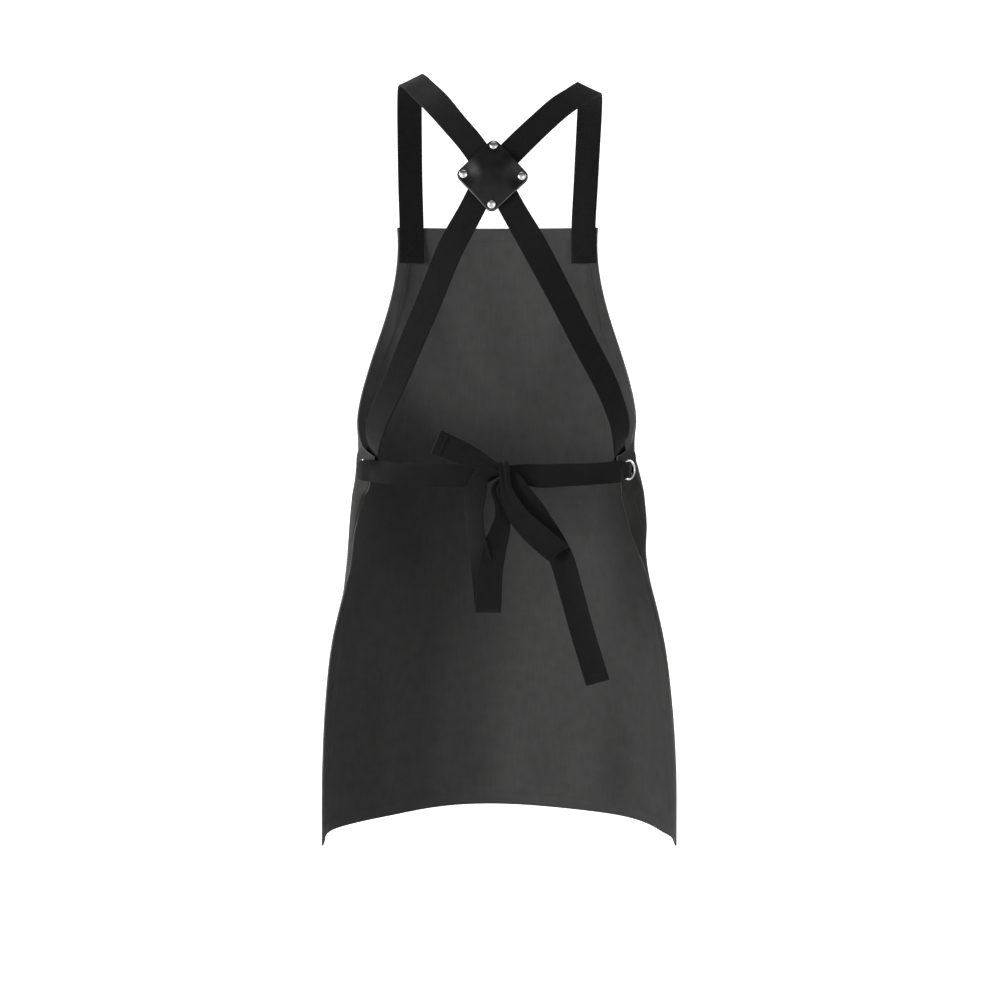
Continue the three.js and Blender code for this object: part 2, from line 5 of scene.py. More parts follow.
import bpy
import numpy as np
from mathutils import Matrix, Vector


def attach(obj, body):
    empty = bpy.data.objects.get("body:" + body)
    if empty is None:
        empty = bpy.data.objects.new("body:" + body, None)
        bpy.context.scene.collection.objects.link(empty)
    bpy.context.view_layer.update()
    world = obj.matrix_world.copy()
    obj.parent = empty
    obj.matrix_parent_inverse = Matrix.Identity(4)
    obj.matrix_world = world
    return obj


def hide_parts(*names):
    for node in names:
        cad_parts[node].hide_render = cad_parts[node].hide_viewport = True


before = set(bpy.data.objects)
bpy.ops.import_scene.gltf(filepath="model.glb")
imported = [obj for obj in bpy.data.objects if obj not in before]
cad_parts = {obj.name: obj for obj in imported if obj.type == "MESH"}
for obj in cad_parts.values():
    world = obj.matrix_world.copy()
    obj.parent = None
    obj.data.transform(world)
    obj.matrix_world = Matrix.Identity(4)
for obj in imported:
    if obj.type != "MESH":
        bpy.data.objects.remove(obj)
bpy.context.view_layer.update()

MM = 0.001
BODY = "root"

# Camera, which looks at the back of the apron from a little above its middle
PHOTO_PIXELS = 1000
SENSOR_MM = 36
FOCAL_PIXELS = 2188
CAMERA_PLACE = (0.003, -2.621, -0.331)
CAMERA_DROP_DEG = 3.58


def make_camera():
    data = bpy.data.cameras.new("camera")
    data.sensor_width = SENSOR_MM
    data.lens = FOCAL_PIXELS / PHOTO_PIXELS * SENSOR_MM
    camera = bpy.data.objects.new("camera", data)
    camera.location = CAMERA_PLACE
    camera.rotation_euler = (math.radians(90 - CAMERA_DROP_DEG), 0, 0)
    bpy.context.scene.collection.objects.link(camera)
    bpy.context.scene.camera = camera
    bpy.context.scene.view_settings.view_transform = "Standard"


make_camera()

# Driving sizes of the object, in millimetres as on its drawing
CLOTH_THICK = 1.4
STRAP_WIDE = 31
STRAP_THICK = 1.6
CROSSING_WIDE = 29
LEATHER_THICK = 2
BIB_TOP = -165
BIB_ANGLE = 37
BIB_SWEEP = 68
WAIST_CORNER = -441
HEM = -914.5
HEM_RISE = 17.5
SIDE_ANGLE = 90
EDGE_ANGLE = 120
RING_HEIGHT = -457
RING_ANGLE = 113.4
RING_SPAN = 6
RING_HOLE = 9.6
RING_OUTER = 12.7
CLOTH_HOLE = 10.9
RING_WALL = 0.8
RING_BEAD = 1.3
RING_FLAT = (22, 30)
RING_CLOSE = 1.45
PATCH_X, PATCH_Z = -5.4, -118.7
PATCH_TURN = -2
PATCH_CORNER = 43.5
PATCH_ROUND = 8
PATCH_LIFT = 9.2
PATCH_DOME = 2.5
INNER_DEPTH = 4.6
PINCH_RADIUS = 14
RIVET_REACH = 32.3
RIVET_RADIUS = 5
RIVET_RIM = 0.7
RIVET_DOME = 2.1
SHANK_RADIUS = 1.8
BURR_RADIUS = 4
BURR_THICK = 1

# Sewing, in millimetres
SEAM_WIDE = 17
SEAM_DEEP = 1.0
STITCH_IN = 15
STITCH_PITCH = 3.4
STITCH_LONG = 2.5
THREAD_RADIUS = 0.38
TAIL_HEM = 12

# Level sections of the panel: height, half breadth, front depth, depth of the broadest point,
# back edge x and y, how far the section hangs to one side, and how sharply it turns in to the back edge
SECTIONS = np.array([
    (-165, 205, 112, 0, 150, -50, 0, 2),
    (-300, 186, 118, 0, 145, -50, 0, 2),
    (-400, 167, 125, 0, 142, -50, -1, 2),
    (-446, 164.4, 128, 0, 143, -49, -2, 3.5),
    (-480, 169.2, 130, 0, 150, -44, 0.2, 6),
    (-520, 174.6, 133, 2, 161, -37, 1, 6),
    (-560, 177.4, 137, 6, 171.5, -29, 0, 6),
    (-604, 184.8, 141, 12, 184.4, -20, 0.8, 5),
    (-664, 199, 148, 20, 198.8, -12, 0.8, 4),
    (-740, 208.6, 156, 28, 208.4, -6, 1.4, 3),
    (-820, 213.6, 163, 35, 213.4, -2, 2, 2),
    (-912, 214.8, 170, 42, 214.6, 0, 2, 2),
])

# From the rings down both back edges lean to one side: how far, and the heights where that grows and fades
EDGE_LEAN = -6.8
LEAN_GROWS = (-436, -506)
LEAN_FADES = (-524, -580)

# Drape folds of the skirt: angle on the section, spread in degrees, depth at the hem, height of the start
FOLDS = [
    (-72, 13, 5, -560),
    (-40, 15, -6, -500),
    (-14, 12, 4, -620),
    (20, 14, -5, -540),
    (48, 14, 6, -500),
    (76, 11, -4, -600),
]

# Pulls in the cloth from a ring: run inward, run down, width and height of the crease
RING_PULLS = [
    (150, -18, 10, 2.4),
    (140, 40, 12, 2.0),
    (95, 110, 13, 1.2),
    (25, 150, 11, 0.5),
]

# Pulls in the bib from a strap end: run inward, run down, width and height of the crease
BIB_PULLS = [
    (16, 170, 14, 2.6),
    (85, 110, 13, 2.0),
    (-20, 110, 11, 1.4),
]

# Soft folds up from the hem: place across the flat cloth, run across, run up, width and height of the fold
HEM_FOLDS = [
    (-196, 34, 330, 19, 3.4),
    (-158, 22, 420, 21, -4.2),
    (-112, 10, 300, 18, 3.8),
    (-60, 18, 440, 22, -3.8),
    (-12, 4, 330, 18, 3.6),
    (40, -14, 410, 22, -4.2),
    (94, -12, 310, 18, 3.8),
    (146, -26, 430, 21, -4.0),
    (192, -36, 340, 19, 3.4),
]

# Low waves all over the cloth: seed, how many, lengths across and along, height for each length across
WAVE_SEED = 11
WAVES = 14
WAVE_ACROSS = (70, 190)
WAVE_ALONG = (220, 620)
WAVE_HEIGHT = 0.0055

# Shares of a crease's run over which it grows and fades
CREASE_GROWS = (0, 0.18)
CREASE_FADES = (0.25, 1)

# Distances over which creases and hems fade, from a ring's centre and from the cloth's edge
RING_CALM = (15, 40)
EDGE_CALM = (-4, 30)
SEAM_SLOPE = 1.5

# Rivets: name, way from the patch centre in degrees up from the right, how far apart the leathers lie there
RIVETS = [
    ("rivet_top", 90, 7),
    ("rivet_right", 0, 5.6),
    ("rivet_bottom", 270, 7.6),
    ("rivet_left", 180, 5.6),
]

# Lie of the back about the patch: depth at its centre, lean, roundness up and across
BACK_DEPTH, BACK_LEAN, BACK_UP, BACK_OUT = -119.9, 0.11, 0.0026, 0.0019


def back_depth(x, z):
    up = z - PATCH_Z
    out = x - PATCH_X
    return BACK_DEPTH + BACK_LEAN * up + BACK_UP * up * up + BACK_OUT * out * out


def back_facing(x, z):
    facing = np.array([2 * BACK_OUT * (x - PATCH_X), -1, BACK_LEAN + 2 * BACK_UP * (z - PATCH_Z)])
    return facing / np.linalg.norm(facing)


# Strap rows: a point on the middle line, the way the outer face looks (turn from -Y to +X, then tilt up),
# the width where it isn't the full one, and the curl across it in degrees where there is one
def full_row(x, y, z, turn, tilt, wide=STRAP_WIDE, curl=0):
    return (x, y, z, turn, tilt, wide, curl)


def crossing(x, z, inward):
    """Row of a strap that lies on the back under the patch."""
    facing = back_facing(x, z)
    turn = math.degrees(math.atan2(facing[0], -facing[1]))
    tilt = math.degrees(math.asin(facing[2]))
    return (x, back_depth(x, z) + inward, z, turn, tilt, CROSSING_WIDE)


# From the left bib corner over the left shoulder to the right side
LEFT_OVER = [
    (-106, 91.4, -208, -162, 2),
    (-106, 92.2, -186, -162, 2),
    (-106, 91.6, -160, -162, 5),
    (-107, 86, -115, -162, 14),
    (-107, 68, -58, -160, 30),
    (-106, 40, -17, -150, 52),
    (-104, 8, 3.4, -110, 62),
    (-98, -22, -0.6, -50, 58),
    (-87, -45, -13, -28, 45),
    (-70, -74, -32, -20, 35),
    (-50, -97, -57, -14, 26, 29),
    crossing(-31, -80, 1.4),
    crossing(-19, -97, 0),
    crossing(-6, -115, -0.7),
    crossing(6, -136, -0.2),
    crossing(19, -159, 0.8),
    (40, -118.5, -195, 11, -6),
    (75, -105, -259, 22, -8),
    (99, -92.5, -305, 27, -8),
    (124.5, -77.5, -352, 31, -4),
    (135, -69, -376, 34, 0),
    (143.5, -58, -402, 40, 0),
    (145, -49.5, -424, 48, 0, 29),
]

# From the right bib corner over the right shoulder to the left side
RIGHT_OVER = [
    (106, 91.4, -208, 162, 2),
    (106, 92.2, -186, 162, 2),
    (106, 91.6, -160, 162, 5),
    (108, 84, -117, 162, 14),
    (110, 66, -66, 160, 30),
    (111, 38, -26, 150, 52),
    (110, 6, -6, 110, 62),
    (103, -24, -11, 50, 58),
    (91, -48, -21, 30, 45, 29.5),
    (73, -71, -35, 22, 35, 29),
    (49.2, -95, -58, 15, 26, 28.5),
    crossing(27, -80, 2.2),
    crossing(10.6, -97, 2.1),
    crossing(-7, -115, 2.1),
    crossing(-19, -137, 2.1),
    crossing(-31, -160, 1.8),
    (-54, -115.5, -202, -15, -6),
    (-78, -104, -259, -22, -8),
    (-103, -90, -316, -28, -8),
    (-118, -80, -351, -31, -4),
    (-130.5, -70, -377, -34, 0),
    (-141.5, -58, -402, -40, 0),
    (-146.5, -49.5, -424, -48, 0, 29),
]

# Waist tie on the left side, mirrored for the right; the face looks at the wearer
TIE = [
    (-143, -58.5, -457.6, 124, -12, 26, 40),
    (-118, -73.5, -459, 141, -20, 27, 50),
    (-80, -87, -460, 158, -20, 28, 40),
    (-48, -94, -461, 170, -14, 28, 30),
]

# Strap through a ring: along the cloth towards the back edge, out of the cloth, height, half turns, width.
# On the right it is drawn tight against the back of the ring; on the left it bulges over the ring.
RING_PASS = {
    1: [
        (2.8, -10, -440, 0, 26),
        (-2.5, -9.5, -450, 0.1, 20),
        (-4.5, -7, -456.5, 0.4, 12.5),
        (-1.5, 0, -457, 0.72, 12.5),
        (4.5, 6.2, -457, 1, 16),
        (16, 5.8, -457, 1, 23),
    ],
    -1: [
        (2.8, -10, -440, 0, 26),
        (1.5, -8.5, -450, 0, 20),
        (0, -6, -456.5, 0.15, 15),
        (-2, 0, -457, 0.45, 13),
        (-6.5, 6.3, -457, 0.75, 17),
        (2.5, 9, -457, 1, 23),
        (16, 6.4, -457, 1, 26),
    ],
}

# Bow end of the left strap: behind the wrap, left loop, then the long tail
LEFT_BOW = [
    (29, -97, -458.5, -176, -4, 23),
    (13, -100.9, -455, 180, 0, 13),
    (0, -101.4, -454.5, 180, 0, 12),
    (-11, -102, -456.5, 176, 4, 14),
    (-19, -103.4, -462, 160, 4, 20),
    (-25, -106.5, -478, 160, 0, 26, 30),
    (-28, -108, -500, 142, 0, 29, 45),
    (-27, -107.5, -524, 137, 0, 30, 50),
    (-22, -106, -548, 144, 0, 30, 40),
    (-16, -104.2, -577, 160, 0, 30, 20),
    (-12, -103, -604, 174, 0, 30),
    (-11, -104.5, -614.5, 180, -35, 30),
    (-10.8, -108, -618.5, 180, -90, 30),
    (-10.6, -111.5, -614.5, 0, -35, 30),
    (-10.2, -112.6, -604, 0, 0, 30),
    (-8, -111.5, -569, 5, 0, 29, 10),
    (-3.5, -109.5, -545, 12, 0, 28, 20),
    (3, -107.5, -523, 16, 0, 24, 30),
    (6, -105.5, -506, 12, 0, 18, 20),
    (3, -103.8, -490, 4, 0, 14),
    (-1, -102.4, -477.5, 0, 0, 12),
    (2, -101.6, -470, 0, 0, 11),
    (9, -101.4, -468, 0, 0, 12),
    (16, -101.8, -473, 0, 0, 16),
    (25, -102.2, -484, 0, 0, 22),
    (37, -101.6, -499, 0, 0, 27, 20),
    (50, -101, -516, 0, 0, 29, 30),
    (73, -100.5, -554, -8, 0, 29, 30),
    (85, -101, -593, -14, 0, 29, 30),
    (98, -103, -640, -16, 0, 29, 25),
    (116.5, -106, -700.5, -14, 0, 29, 20),
]

# Bow end of the right strap: up behind the knot, wrap, right loop, then the short tail
RIGHT_BOW = [
    (-20, -96.5, -461, 178, -4, 21),
    (-5, -96.4, -458, 180, 0, 14),
    (4, -96.6, -452.5, 180, 8, 12),
    (6.4, -98, -446.4, 180, 50, 12),
    (7, -104.5, -444, 180, 90, 12),
    (7.2, -110.6, -447, 0, 50, 12),
    (8, -112.4, -454, 0, 6, 12),
    (8.6, -113, -466, 0, -2, 12),
    (11, -114, -478, -4, 0, 15),
    (17, -115.5, -493, -10, 0, 20, 20),
    (26, -117, -508, -12, 0, 25, 25),
    (40, -118, -523, -10, 0, 28, 20),
    (57, -117.6, -538, -6, 0, 29, 10),
    (66, -116.4, -545.4, 0, 0, 29),
    (70.5, -112.4, -549.2, 51, -50, 29),
    (67.5, -108.2, -546, 180, 0, 29),
    (58, -107.4, -533, 183, 0, 29),
    (46, -107, -507, 184, 0, 27, 10),
    (31, -106.4, -484, 182, 0, 22),
    (19, -105.8, -464, 178, 0, 16),
    (9, -105.6, -456, 180, 0, 13),
    (-3, -105.8, -451, 180, 0, 13),
    (-17, -106.6, -444.5, 178, -4, 19),
    (-36, -108, -436, 174, -8, 26, 20),
    (-54, -109, -428, 172, -8, 28, 25),
    (-71, -110, -420.5, 172, -6, 28, 15),
]


# Small helpers
def smooth(low, high, value):
    t = np.clip((value - low) / (high - low), 0, 1)
    return t * t * (3 - 2 * t)


def unit(vectors):
    return vectors / np.linalg.norm(vectors, axis=-1, keepdims=True)


def spline(table, knots, at):
    """Smooth interpolation of every column of a table along its knots."""
    step = np.diff(knots)
    chord = np.diff(table, axis=0) / step[:, None]
    slope = np.empty_like(table)
    slope[0], slope[-1] = chord[0], chord[-1]
    before, after = step[:-1, None], step[1:, None]
    slope[1:-1] = (chord[:-1] * after + chord[1:] * before) / (before + after)
    i = np.clip(np.searchsorted(knots, at) - 1, 0, len(step) - 1)
    span = step[i][:, None]
    t = ((at - knots[i]) / step[i])[:, None]
    t2, t3 = t * t, t * t * t
    start = (2 * t3 - 3 * t2 + 1) * table[i] + (t3 - 2 * t2 + t) * span * slope[i]
    return start + (3 * t2 - 2 * t3) * table[i + 1] + (t3 - t2) * span * slope[i + 1]


def mesh_piece(name, points, faces, materials, face_material=None, uv=None):
    """A smooth mesh object from points in millimetres; uv is in millimetres too."""
    mesh = bpy.data.meshes.new(name)
    mesh.from_pydata((np.asarray(points) * MM).tolist(), [], [tuple(f) for f in faces])
    for material in materials:
        mesh.materials.append(material)
    mesh.polygons.foreach_set("use_smooth", [True] * len(mesh.polygons))
    if face_material is not None:
        mesh.polygons.foreach_set("material_index", face_material)
    if uv is not None:
        corner = np.empty(len(mesh.loops), np.int32)
        mesh.loops.foreach_get("vertex_index", corner)
        layer = mesh.uv_layers.new(name="UVMap")
        layer.data.foreach_set("uv", (np.asarray(uv)[corner] * MM).ravel())
    mesh.validate()
    mesh.update()
    piece = bpy.data.objects.new(name, mesh)
    bpy.context.scene.collection.objects.link(piece)
    return piece


def tube_faces(rings, count, flip, closed=False):
    """Faces between rings of points, with a cap at each end unless closed; flip turns them over."""
    here = np.arange(count)
    then = np.roll(here, -1)
    starts = np.arange(rings) * count
    faces = []
    for low, high in zip(starts, np.roll(starts, -1) if closed else starts[1:]):
        corners = [low + here, low + then, high + then, high + here]
        if flip:
            corners[1], corners[3] = corners[3], corners[1]
        faces += np.stack(corners, -1).tolist()
    if not closed:
        step = -1 if flip else 1
        faces += [here[::-step].tolist(), (starts[-1] + here[::step]).tolist()]
    return faces


# Materials
def shader_material(name, settings):
    material = bpy.data.materials.new(name)
    material.use_nodes = True
    shader = material.node_tree.nodes["Principled BSDF"]
    for socket, value in settings.items():
        shader.inputs[socket].default_value = value
    return material, material.node_tree, shader


def math_node(tree, operation, first, second=None):
    node = tree.nodes.new("ShaderNodeMath")
    node.operation = operation
    for socket, value in zip(node.inputs, (first, second)):
        if value is None:
            continue
        if isinstance(value, (int, float)):
            socket.default_value = value
        else:
            tree.links.new(value, socket)
    return node.outputs[0]


def mix_nodes(tree, parts):
    """Sum of values, each times its part."""
    total = None
    for value, part in parts:
        share = math_node(tree, "MULTIPLY", value, part)
        total = share if total is None else math_node(tree, "ADD", total, share)
    return total


def rough_node(tree, shader, value, part, least):
    """Roughness that grows from its least with a value."""
    rough = math_node(tree, "MULTIPLY_ADD", value, part)
    rough.node.inputs[2].default_value = least
    tree.links.new(rough, shader.inputs["Roughness"])


def noise_node(tree, coordinate, scale, detail):
    node = tree.nodes.new("ShaderNodeTexNoise")
    node.inputs["Scale"].default_value = scale
    node.inputs["Detail"].default_value = detail
    tree.links.new(coordinate, node.inputs["Vector"])
    return node.outputs["Fac"]


def ramp_node(tree, factor, stops):
    node = tree.nodes.new("ShaderNodeValToRGB")
    ramp = node.color_ramp
    for element, (place, colour) in zip(ramp.elements, stops):
        element.position = place
        element.color = (*colour, 1)
    tree.links.new(factor, node.inputs["Fac"])
    return node.outputs["Color"]


def bump_node(tree, height, distance, strength):
    node = tree.nodes.new("ShaderNodeBump")
    node.inputs["Distance"].default_value = distance
    node.inputs["Strength"].default_value = strength
    tree.links.new(height, node.inputs["Height"])
    return node.outputs["Normal"]


# Cloth: noise scales per metre, stretch of the streaks, parts of both threads, parts of each in the shade
SLUB_SCALE = 900
MOTTLE_SCALE = 70
STREAK_SCALE = 700
STREAK_STRETCH = 0.04
WARP_PART, WEFT_PART = 0.6, 0.4
MOTTLE_SHADE, SLUB_SHADE, STREAK_SHADE, THREAD_SHADE = 0.35, 0.3, 0.3, 0.1


def woven_material(name, dark, light, pitch_mm, slant, depth_mm, sheen):
    """Cloth of threads across and along; slant moves each row of threads on, as a twill does."""
    material, tree, shader = shader_material(
        name,
        {
            "Roughness": 0.92,
            "Specular IOR Level": 0.08,
            "Sheen Weight": sheen,
            "Sheen Roughness": 0.55,
            "Sheen Tint": (0.55, 0.55, 0.56, 1),
        },
    )
    uv = tree.nodes.new("ShaderNodeUVMap").outputs["UV"]
    split = tree.nodes.new("ShaderNodeSeparateXYZ")
    tree.links.new(uv, split.inputs["Vector"])
    across_mm, along_mm = pitch_mm
    turn_across = math_node(tree, "MULTIPLY", split.outputs["X"], 2 * math.pi / (across_mm * MM))
    turn_along = math_node(tree, "MULTIPLY", split.outputs["Y"], 2 * math.pi / (along_mm * MM))
    slanted = math_node(tree, "MULTIPLY", turn_along, slant)
    warp = math_node(tree, "SINE", math_node(tree, "ADD", turn_across, slanted))
    weft = math_node(tree, "SINE", turn_along)
    threads = mix_nodes(tree, [(warp, WARP_PART), (weft, WEFT_PART)])
    slub = noise_node(tree, uv, SLUB_SCALE, detail=2)
    height = math_node(tree, "ADD", threads, slub)
    tree.links.new(bump_node(tree, height, depth_mm * MM, strength=0.7), shader.inputs["Normal"])
    place = tree.nodes.new("ShaderNodeTexCoord").outputs["Object"]
    mottle = noise_node(tree, place, MOTTLE_SCALE, detail=6)
    stretched = tree.nodes.new("ShaderNodeMapping")
    stretched.inputs["Scale"].default_value = (1, STREAK_STRETCH, 1)
    tree.links.new(uv, stretched.inputs["Vector"])
    streak = noise_node(tree, stretched.outputs["Vector"], STREAK_SCALE, detail=2)
    shade = mix_nodes(tree, [
        (mottle, MOTTLE_SHADE),
        (slub, SLUB_SHADE),
        (streak, STREAK_SHADE),
        (threads, THREAD_SHADE),
    ])
    tree.links.new(ramp_node(tree, shade, [(0.25, dark), (0.75, light)]), shader.inputs["Base Color"])
    return material


# Leather: breadth of a pebble of its grain, where the pebbles level off, noise scales per metre,
# parts of pebbles and pores in the height, and how much wear roughens it
PEBBLE_MM = 2.2
PEBBLE_FLAT = 0.25
PORE_SCALE = 1300
WEAR_SCALE = 60
PEBBLE_PART, PORE_PART = 2.2, 0.5
WEAR_ROUGH = 0.25


def leather_material(name, dark, light, roughness, grain_mm):
    material, tree, shader = shader_material(name, {"Specular IOR Level": 0.11})
    place = tree.nodes.new("ShaderNodeTexCoord").outputs["Object"]
    cells = tree.nodes.new("ShaderNodeTexVoronoi")
    cells.feature = "DISTANCE_TO_EDGE"
    cells.inputs["Scale"].default_value = 1 / (PEBBLE_MM * MM)
    tree.links.new(place, cells.inputs["Vector"])
    pebble = math_node(tree, "MINIMUM", cells.outputs["Distance"], PEBBLE_FLAT)
    pores = noise_node(tree, place, PORE_SCALE, detail=3)
    height = mix_nodes(tree, [(pebble, PEBBLE_PART), (pores, PORE_PART)])
    tree.links.new(bump_node(tree, height, grain_mm * MM, strength=0.8), shader.inputs["Normal"])
    worn = noise_node(tree, place, WEAR_SCALE, detail=4)
    tree.links.new(ramp_node(tree, worn, [(0.3, dark), (0.75, light)]), shader.inputs["Base Color"])
    rough_node(tree, shader, worn, WEAR_ROUGH, roughness)
    return material


# Metal: noise scales per metre of haze and scuffs, depth of a scuff, how dull and rough the haze makes it
HAZE_SCALE = 240
SCUFF_SCALE = 1500
SCUFF_DEEP_MM = 0.04
HAZE_DULL = 0.72
HAZE_ROUGH = 0.18
METAL_ROUGH = 0.16


def metal_material(name, colour):
    material, tree, shader = shader_material(name, {"Metallic": 1.0})
    place = tree.nodes.new("ShaderNodeTexCoord").outputs["Object"]
    haze = noise_node(tree, place, HAZE_SCALE, detail=4)
    worn = tuple(HAZE_DULL * channel for channel in colour)
    tree.links.new(ramp_node(tree, haze, [(0.3, worn), (0.6, colour)]), shader.inputs["Base Color"])
    rough_node(tree, shader, haze, HAZE_ROUGH, METAL_ROUGH)
    scuffs = noise_node(tree, place, SCUFF_SCALE, detail=2)
    tree.links.new(bump_node(tree, scuffs, SCUFF_DEEP_MM * MM, strength=0.4), shader.inputs["Normal"])
    return material


# Woven cloths: name, dark and light colour, pitch of the threads across and along, slant, depth, sheen
WOVEN = [
    ("canvas", (0.0168, 0.0168, 0.0163), (0.0275, 0.0275, 0.0265), (0.9, 0.9), 1.0, 0.16, 0.05),
    # Painted light: the inside is the same canvas as the outside, given a lighter tone so the straps read
    # against it
    ("canvas_inside_painted_light", (0.036, 0.036, 0.0355), (0.060, 0.060, 0.059), (0.9, 0.9), 1.0, 0.16, 0.03),
    # Painted highlight: the fold along every edge of the panel is a much lighter canvas, standing in for
    # light caught along the hem
    ("canvas_edge_highlight", (0.05, 0.05, 0.048), (0.11, 0.11, 0.106), (0.9, 0.9), 1.0, 0.12, 0.05),
    ("webbing", (0.0033, 0.0033, 0.0034), (0.0080, 0.0080, 0.0084), (2.6, 1.3), 0.5, 0.3, 0.035),
    ("thread", (0.03, 0.03, 0.029), (0.055, 0.055, 0.053), (0.5, 0.5), 1.0, 0.08, 0.05),
    ("webbing_thread", (0.009, 0.009, 0.009), (0.017, 0.017, 0.017), (0.5, 0.5), 1.0, 0.08, 0.04),
]
CANVAS, CANVAS_INSIDE_PAINTED_LIGHT, CANVAS_EDGE_HIGHLIGHT, WEBBING, THREAD, WEBBING_THREAD = (
    woven_material(*cloth) for cloth in WOVEN
)
LEATHER = leather_material(
    "leather", (0.003, 0.003, 0.003), (0.006, 0.0058, 0.0056), roughness=0.3, grain_mm=0.07
)
LEATHER_EDGE = leather_material(
    "leather_edge", (0.045, 0.043, 0.040), (0.13, 0.125, 0.115), roughness=0.7, grain_mm=0.2
)
NICKEL = metal_material("nickel", (0.36, 0.36, 0.35))


# Panel
def draped(angle, z, lean):
    """Points of the hanging cloth at an angle round the wearer and a height, both arrays."""
    section = spline(SECTIONS[:, 1:], -SECTIONS[:, 0], -z.ravel()).reshape(*z.shape, 7)
    breadth, front, side, edge_x, edge_y, sway, sharp = np.moveaxis(section, -1, 0)
    turn = np.abs(angle)
    lap = np.radians(np.minimum(turn, SIDE_ANGLE))
    back = np.clip((turn - SIDE_ANGLE) / (EDGE_ANGLE - SIDE_ANGLE), 0, None)
    turned_in = back ** sharp
    x = breadth * np.sin(lap) - (breadth - edge_x) * turned_in
    y = side + (front - side) * np.cos(lap) * (back == 0) + (edge_y - side) * back
    for at, spread, depth, top in FOLDS:
        push = depth * smooth(top, HEM, z) * np.exp(-(((angle - at) / spread) ** 2))
        x = x + push * np.sin(np.radians(turn))
        y = y + push * np.cos(np.radians(turn))
    aside = sway + lean * turned_in
    return np.stack([aside + np.where(angle < 0, -x, x), y, z], -1)


def ring_seat(side):
    """Centre of a ring, the way along the cloth to the back edge, and the way out of the cloth."""
    height = np.array([RING_HEIGHT, RING_HEIGHT], float)
    fore, aft = draped(side * np.array([RING_ANGLE - RING_SPAN, RING_ANGLE + RING_SPAN]), height, 0)
    to_edge = unit(aft - fore)
    outward = np.array([-side * to_edge[1], side * to_edge[0], 0])
    return (fore + aft) / 2, to_edge, outward


SEATS = {-1: ring_seat(-1), 1: ring_seat(1)}


def panel_points(angle, z):
    """Middle of the cloth, flat about each ring, and for a shorter way along the waist than up and down."""
    lean = EDGE_LEAN * smooth(*LEAN_GROWS, z) * (1 - smooth(*LEAN_FADES, z))
    points = draped(angle, z, lean)
    for centre, to_edge, outward in SEATS.values():
        apart = points - centre
        off = apart @ outward
        reach = ((RING_CLOSE * (apart @ to_edge)) ** 4 + apart[..., 2] ** 4 + off ** 4) ** 0.25
        points = points - outward * ((1 - smooth(*RING_FLAT, reach)) * off)[..., None]
    return points


BIB_ROWS = 84
SKIRT_ROWS = 104
PANEL_COLUMNS = 133


def panel_lines():
    """Angle and height of every point of the panel's grid, in rows from the bib's top down."""
    share = np.linspace(-1, 1, PANEL_COLUMNS)
    sweep = np.radians(np.arange(BIB_ROWS) / BIB_ROWS * BIB_SWEEP)
    end = math.radians(BIB_SWEEP)
    edge = BIB_ANGLE + (EDGE_ANGLE - BIB_ANGLE) * (1 - np.cos(sweep)) / (1 - math.cos(end))
    bib_z = BIB_TOP + (WAIST_CORNER - BIB_TOP) * np.sin(sweep) / math.sin(end)
    drop = np.linspace(0, 1, SKIRT_ROWS + 1)
    angle = np.concatenate([edge[:, None] * share, np.ones((SKIRT_ROWS + 1, 1)) * EDGE_ANGLE * share])
    turn = np.abs(share * EDGE_ANGLE)
    rise = np.where(turn < SIDE_ANGLE, HEM_RISE * np.cos(np.radians(turn)) ** 2, 0)
    skirt_z = WAIST_CORNER + (HEM + rise - WAIST_CORNER) * drop[:, None]
    z = np.concatenate([bib_z[:, None] * np.ones_like(share), skirt_z])
    return angle, z


def ridge(s, z, start, run, width, height):
    """A soft crease from a start along a run, highest near its start."""
    run = np.array(run, float)
    length = np.linalg.norm(run)
    way = run / length
    t = ((s - start[0]) * way[0] + (z - start[1]) * way[1]) / length
    off = (s - start[0]) * -way[1] + (z - start[1]) * way[0]
    taper = smooth(*CREASE_GROWS, t) * (1 - smooth(*CREASE_FADES, t))
    return height * taper * np.exp(-((off / width) ** 2))


def creases(s, z, points):
    """How far the cloth stands off its smooth drape, from where a point lies on the flat cloth."""
    lift = np.zeros_like(s)
    for side, strap_rows in ((-1, LEFT_OVER), (1, RIGHT_OVER)):
        ring = np.argmin(np.linalg.norm(points - SEATS[side][0], axis=-1))
        strap_end = np.argmin(np.linalg.norm(points - strap_rows[0][:3], axis=-1))
        for start, pulls in ((ring, RING_PULLS), (strap_end, BIB_PULLS)):
            place = (s.flat[start], z.flat[start])
            for inward, down, width, height in pulls:
                lift += ridge(s, z, place, (-side * inward, -down), width, height)
    for across, run_across, up, width, height in HEM_FOLDS:
        lift += ridge(s, z, (across, HEM), (run_across, up), width, height)
    rng = np.random.default_rng(WAVE_SEED)
    for _ in range(WAVES):
        across, along = rng.uniform(*WAVE_ACROSS), rng.uniform(*WAVE_ALONG)
        phase, lean = rng.uniform(0, 2 * math.pi), rng.choice([-1, 1])
        height = WAVE_HEIGHT * across
        lift += height * np.sin(2 * math.pi * (s / across + lean * z / along) + phase)
    return lift


def rim_loop(rows, columns):
    """Indices of a grid's boundary, once round."""
    top = np.arange(columns)
    right = np.arange(1, rows) * columns + columns - 1
    bottom = (rows - 1) * columns + np.arange(columns - 2, -1, -1)
    left = np.arange(rows - 2, 0, -1) * columns
    return np.concatenate([top, right, bottom, left])


EDGE_BATCH = 4000


def edge_distance(s, z):
    """Distance of every grid point to the nearest edge of the flat cloth."""
    flat = np.stack([s.ravel(), z.ravel()], -1)
    rim = flat[rim_loop(*s.shape)]
    near = np.empty(len(flat))
    for first in range(0, len(flat), EDGE_BATCH):
        batch = slice(first, first + EDGE_BATCH)
        near[batch] = np.sqrt(((flat[batch, None] - rim[None]) ** 2).sum(-1).min(1))
    return near.reshape(s.shape)


